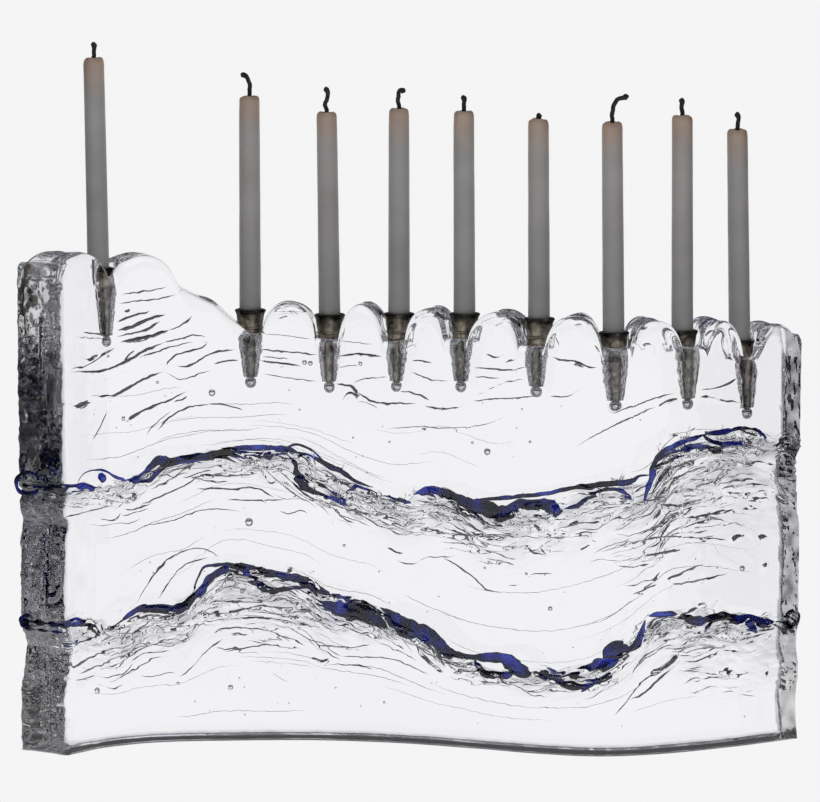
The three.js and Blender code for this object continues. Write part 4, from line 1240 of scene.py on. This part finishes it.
def clear_glass():
    made = Nodes("clear_cast_glass")
    made.set(Roughness=0.0, IOR=1.5, Transmission_Weight=1.0)
    tint = made.ramp(made.texture(9, 2), (0.35, (0.955, 0.955, 0.985)), (0.65, (0.985, 0.985, 1.0)))
    # Colours of the painted shade on the ends and the foot's edge.
    dark = made.ramp(made.texture(260, 4, 0.8), (0.35, (0.02, 0.02, 0.024)), (0.6, (0.07, 0.07, 0.08)),
                     (0.75, (0.3, 0.3, 0.32)))
    # Darker, slightly rough glass on the socket walls.
    darker_tones = made.ramp(made.texture(420, 4, 1.0), (0.36, (0.12, 0.12, 0.14)), (0.62, (0.75, 0.75, 0.8)))
    # Grey of the painted shade under the joints.
    painted_wrinkle_grey = made.ramp(made.texture(90, 3, 0.5), (0.3, (0.42, 0.42, 0.46)), (0.7, (0.62, 0.62, 0.67)))
    skin = made.mix(made.mask("end_shade"), made.mix(made.mask("painted_wrinkle_shade"), tint, painted_wrinkle_grey), dark)
    colour = made.mix(made.mask("socket_wall_darkening"), skin, darker_tones)
    made.link(colour, made.shader.inputs["Base Color"])
    made.link(made.spread(made.mask("socket_wall_darkening"), 0.0, 0.12), made.shader.inputs["Roughness"])
    made.bump(made.texture(160, 2, 0.4), 0.25, 0.0002)
    return made.material


def cobalt_glass():
    made = Nodes("cobalt_glass")
    made.set(Roughness=0.04, IOR=1.25, Transmission_Weight=0.9)
    deep = made.ramp(made.texture(85, 3, 0.6), (0.4, (0.001, 0.001, 0.008)), (0.5, (0.004, 0.007, 0.08)),
                     (0.58, (0.013, 0.022, 0.29)), (0.72, (0.05, 0.09, 0.55)))
    made.link(deep, made.shader.inputs["Base Color"])
    made.bump(made.texture(150, 1), 0.1, 0.0002)
    return made.material


def aged_brass():
    made = Nodes("aged_brass")
    made.set(Metallic=1.0)
    stains = made.texture(260, 6, 0.8)
    bright = made.ramp(stains, (0.32, (0.08, 0.07, 0.06)), (0.5, (0.32, 0.28, 0.22)),
                       (0.66, (0.50, 0.44, 0.36)))
    darker_tones = made.ramp(stains, (0.35, (0.012, 0.011, 0.01)), (0.55, (0.045, 0.04, 0.034)),
                      (0.72, (0.18, 0.155, 0.125)))
    made.link(made.mix(made.mask("soot"), bright, darker_tones), made.shader.inputs["Base Color"])
    made.link(made.spread(stains, 0.5, 0.24), made.shader.inputs["Roughness"])
    made.bump(made.texture(900, 4), 0.35, 0.0002)
    return made.material


def candle_wax():
    made = Nodes("candle_wax")
    made.set(Roughness=0.5, Subsurface_Weight=0.15, Subsurface_Radius=(0.004, 0.003, 0.002))
    cloud = made.ramp(made.texture(60, 3), (0.3, (0.40, 0.385, 0.375)), (0.7, (0.48, 0.465, 0.455)))
    warm = made.ramp(made.texture(130, 3), (0.3, (0.50, 0.34, 0.25)), (0.7, (0.60, 0.44, 0.34)))
    # Painted shade: the wax is darker towards the candle's foot.
    candle_foot_shade = made.ramp(made.mask("foot"), (0.0, (1, 1, 1)), (1.0, (0.7, 0.71, 0.73)))
    colour = made.mix(made.mask("burnt_end"), cloud, warm)
    shaded = made.add("ShaderNodeMix", data_type="RGBA", blend_type="MULTIPLY")
    shaded.inputs[0].default_value = 1.0
    made.link(colour, shaded.inputs[6])
    made.link(candle_foot_shade, shaded.inputs[7])
    made.link(shaded.outputs[2], made.shader.inputs["Base Color"])
    made.bump(made.texture(300, 3), 0.15, 0.0003)
    return made.material


def charred_cotton():
    made = Nodes("charred_cotton")
    made.set(Roughness=0.95)
    ash = made.ramp(made.texture(900, 4), (0.35, (0.012, 0.011, 0.011)), (0.7, (0.06, 0.056, 0.052)))
    made.link(ash, made.shader.inputs["Base Color"])
    made.bump(made.texture(2500, 3), 0.6, 0.0002)
    return made.material


# ---- stage, light and camera ----

FLOOR_REACH = 12.0
COVE_ELEVATION = math.radians(4.0)
EYE_HEIGHT = 0.4  # the cove's top is COVE_ELEVATION above an eye at this height, metres
GROUND_Z = -0.0006  # the floor lies just under the foot, metres
FLOOR_SIDES = 96
PALE = 0.915  # the floor's glow
CARD_DISTANCE = 0.42
CARD_HEIGHT = 0.5
CARD_HALF_SPAN = math.radians(27)
CARD_STEPS = 24
CAMERA_ELEVATION = math.radians(7.5)
CAMERA_DISTANCE = 2.0
CAMERA_LENS = 213.0
CAMERA_AIM = Vector((0.035, 29.25, 143.5))  # millimetres, in the slab's own plan


def build_stage():
    """A pale floor that turns up into a low cove all round, and glows evenly like a light table."""
    rise = EYE_HEIGHT + (FLOOR_REACH + 1) * math.tan(COVE_ELEVATION)
    outline = [(1.0, GROUND_Z), (FLOOR_REACH, GROUND_Z), (FLOOR_REACH + 0.5, rise * 0.2),
               (FLOOR_REACH + 1, rise)]
    sides = FLOOR_SIDES
    points = [(r * math.cos(2 * math.pi * i / sides), r * math.sin(2 * math.pi * i / sides), z)
              for r, z in outline for i in range(sides)]
    faces = [list(range(sides))]
    for ring in range(len(outline) - 1):
        for i in range(sides):
            j = (i + 1) % sides
            faces.append([ring * sides + i, ring * sides + j, (ring + 1) * sides + j, (ring + 1) * sides + i])
    made = Nodes("pale_floor")
    made.set(Roughness=1.0, Base_Color=(0, 0, 0, 1), Specular_IOR_Level=0.0)
    made.set(Emission_Color=(0.995, 0.995, 1.0, 1), Emission_Strength=PALE)
    made.material.cycles.emission_sampling = "NONE"
    floor = new_piece("floor", points, faces, made.material, None)


def build_flags():
    """Dark curved cards at both sides, which the camera doesn't see, to give glass and metal their edges."""
    made = Nodes("dark_card")
    made.set(Roughness=1.0, Base_Color=(0.03, 0.03, 0.032, 1))
    steps = CARD_STEPS
    for side, middle in (("left", math.pi), ("right", 0.0)):
        angles = [middle + CARD_HALF_SPAN * (2 * i / steps - 1) for i in range(steps + 1)]
        points = [(CARD_DISTANCE * math.cos(a), CARD_DISTANCE * math.sin(a), z)
                  for z in (0.0, CARD_HEIGHT) for a in angles]
        faces = [[i, i + 1, i + steps + 2, i + steps + 1] for i in range(steps)]
        card = new_piece(f"dark_card_{side}", points, faces, made.material, None)
        card.visible_camera = False
        card.visible_shadow = False


def build_sky():
    """Dark above the cove, with one soft bright patch overhead."""
    world = bpy.data.worlds.new("studio")
    world.use_nodes = True
    tree = world.node_tree
    place = tree.nodes.new("ShaderNodeTexCoord")
    split = tree.nodes.new("ShaderNodeSeparateXYZ")
    ramp = tree.nodes.new("ShaderNodeValToRGB")
    tree.links.new(place.outputs["Generated"], split.inputs[0])
    tree.links.new(split.outputs["Z"], ramp.inputs["Fac"])
    tree.links.new(ramp.outputs["Color"], tree.nodes["Background"].inputs["Color"])
    stops = ramp.color_ramp.elements
    stops[0].position, stops[0].color = 0.068, (0.85, 0.85, 0.87, 1)
    stops[1].position, stops[1].color = 0.97, (1.3, 1.3, 1.3, 1)
    for height, level in ((0.09, 0.3), (0.12, 0.06), (0.3, 0.035), (0.8, 0.07)):
        stops.new(height).color = (level, level, 1.08 * level, 1)
    bpy.context.scene.world = world


def build_camera():
    aim = MM * (Vector((*SHIFT, 0)) + CAMERA_AIM)
    away = Vector((0, -math.cos(CAMERA_ELEVATION), math.sin(CAMERA_ELEVATION)))
    data = bpy.data.cameras.new("camera")
    data.lens = CAMERA_LENS
    data.clip_end = 100
    camera = bpy.data.objects.new("camera", data)
    camera.location = aim + CAMERA_DISTANCE * away
    camera.rotation_euler = (aim - camera.location).to_track_quat("-Z", "Y").to_euler()
    bpy.context.scene.collection.objects.link(camera)
    bpy.context.scene.camera = camera


def light_paths():
    """Enough bounces for light to pass the glass and its many pockets of air."""
    scene = bpy.context.scene
    scene.view_settings.view_transform = "Standard"
    scene.cycles.max_bounces = 32
    scene.cycles.transmission_bounces = 32
    scene.cycles.glossy_bounces = 10
    scene.cycles.diffuse_bounces = 2


# ---- the object ----

build_camera()
build_stage()
build_flags()
build_sky()
light_paths()
build_casting()
cobalt = cobalt_glass()
build_trails("cobalt_trail_upper", UPPER_TRAILS, "upper", "cobalt_thread_upper", cobalt)
build_trails("cobalt_trail_lower", LOWER_TRAILS, "lower", "cobalt_thread_lower", cobalt)
brass, wax, cotton = aged_brass(), candle_wax(), charred_cotton()
for index, seat in enumerate(SEATS):
    build_cup(seat, index, brass)
    build_candle(seat, index, wax)
    build_wick(seat, index, cotton)
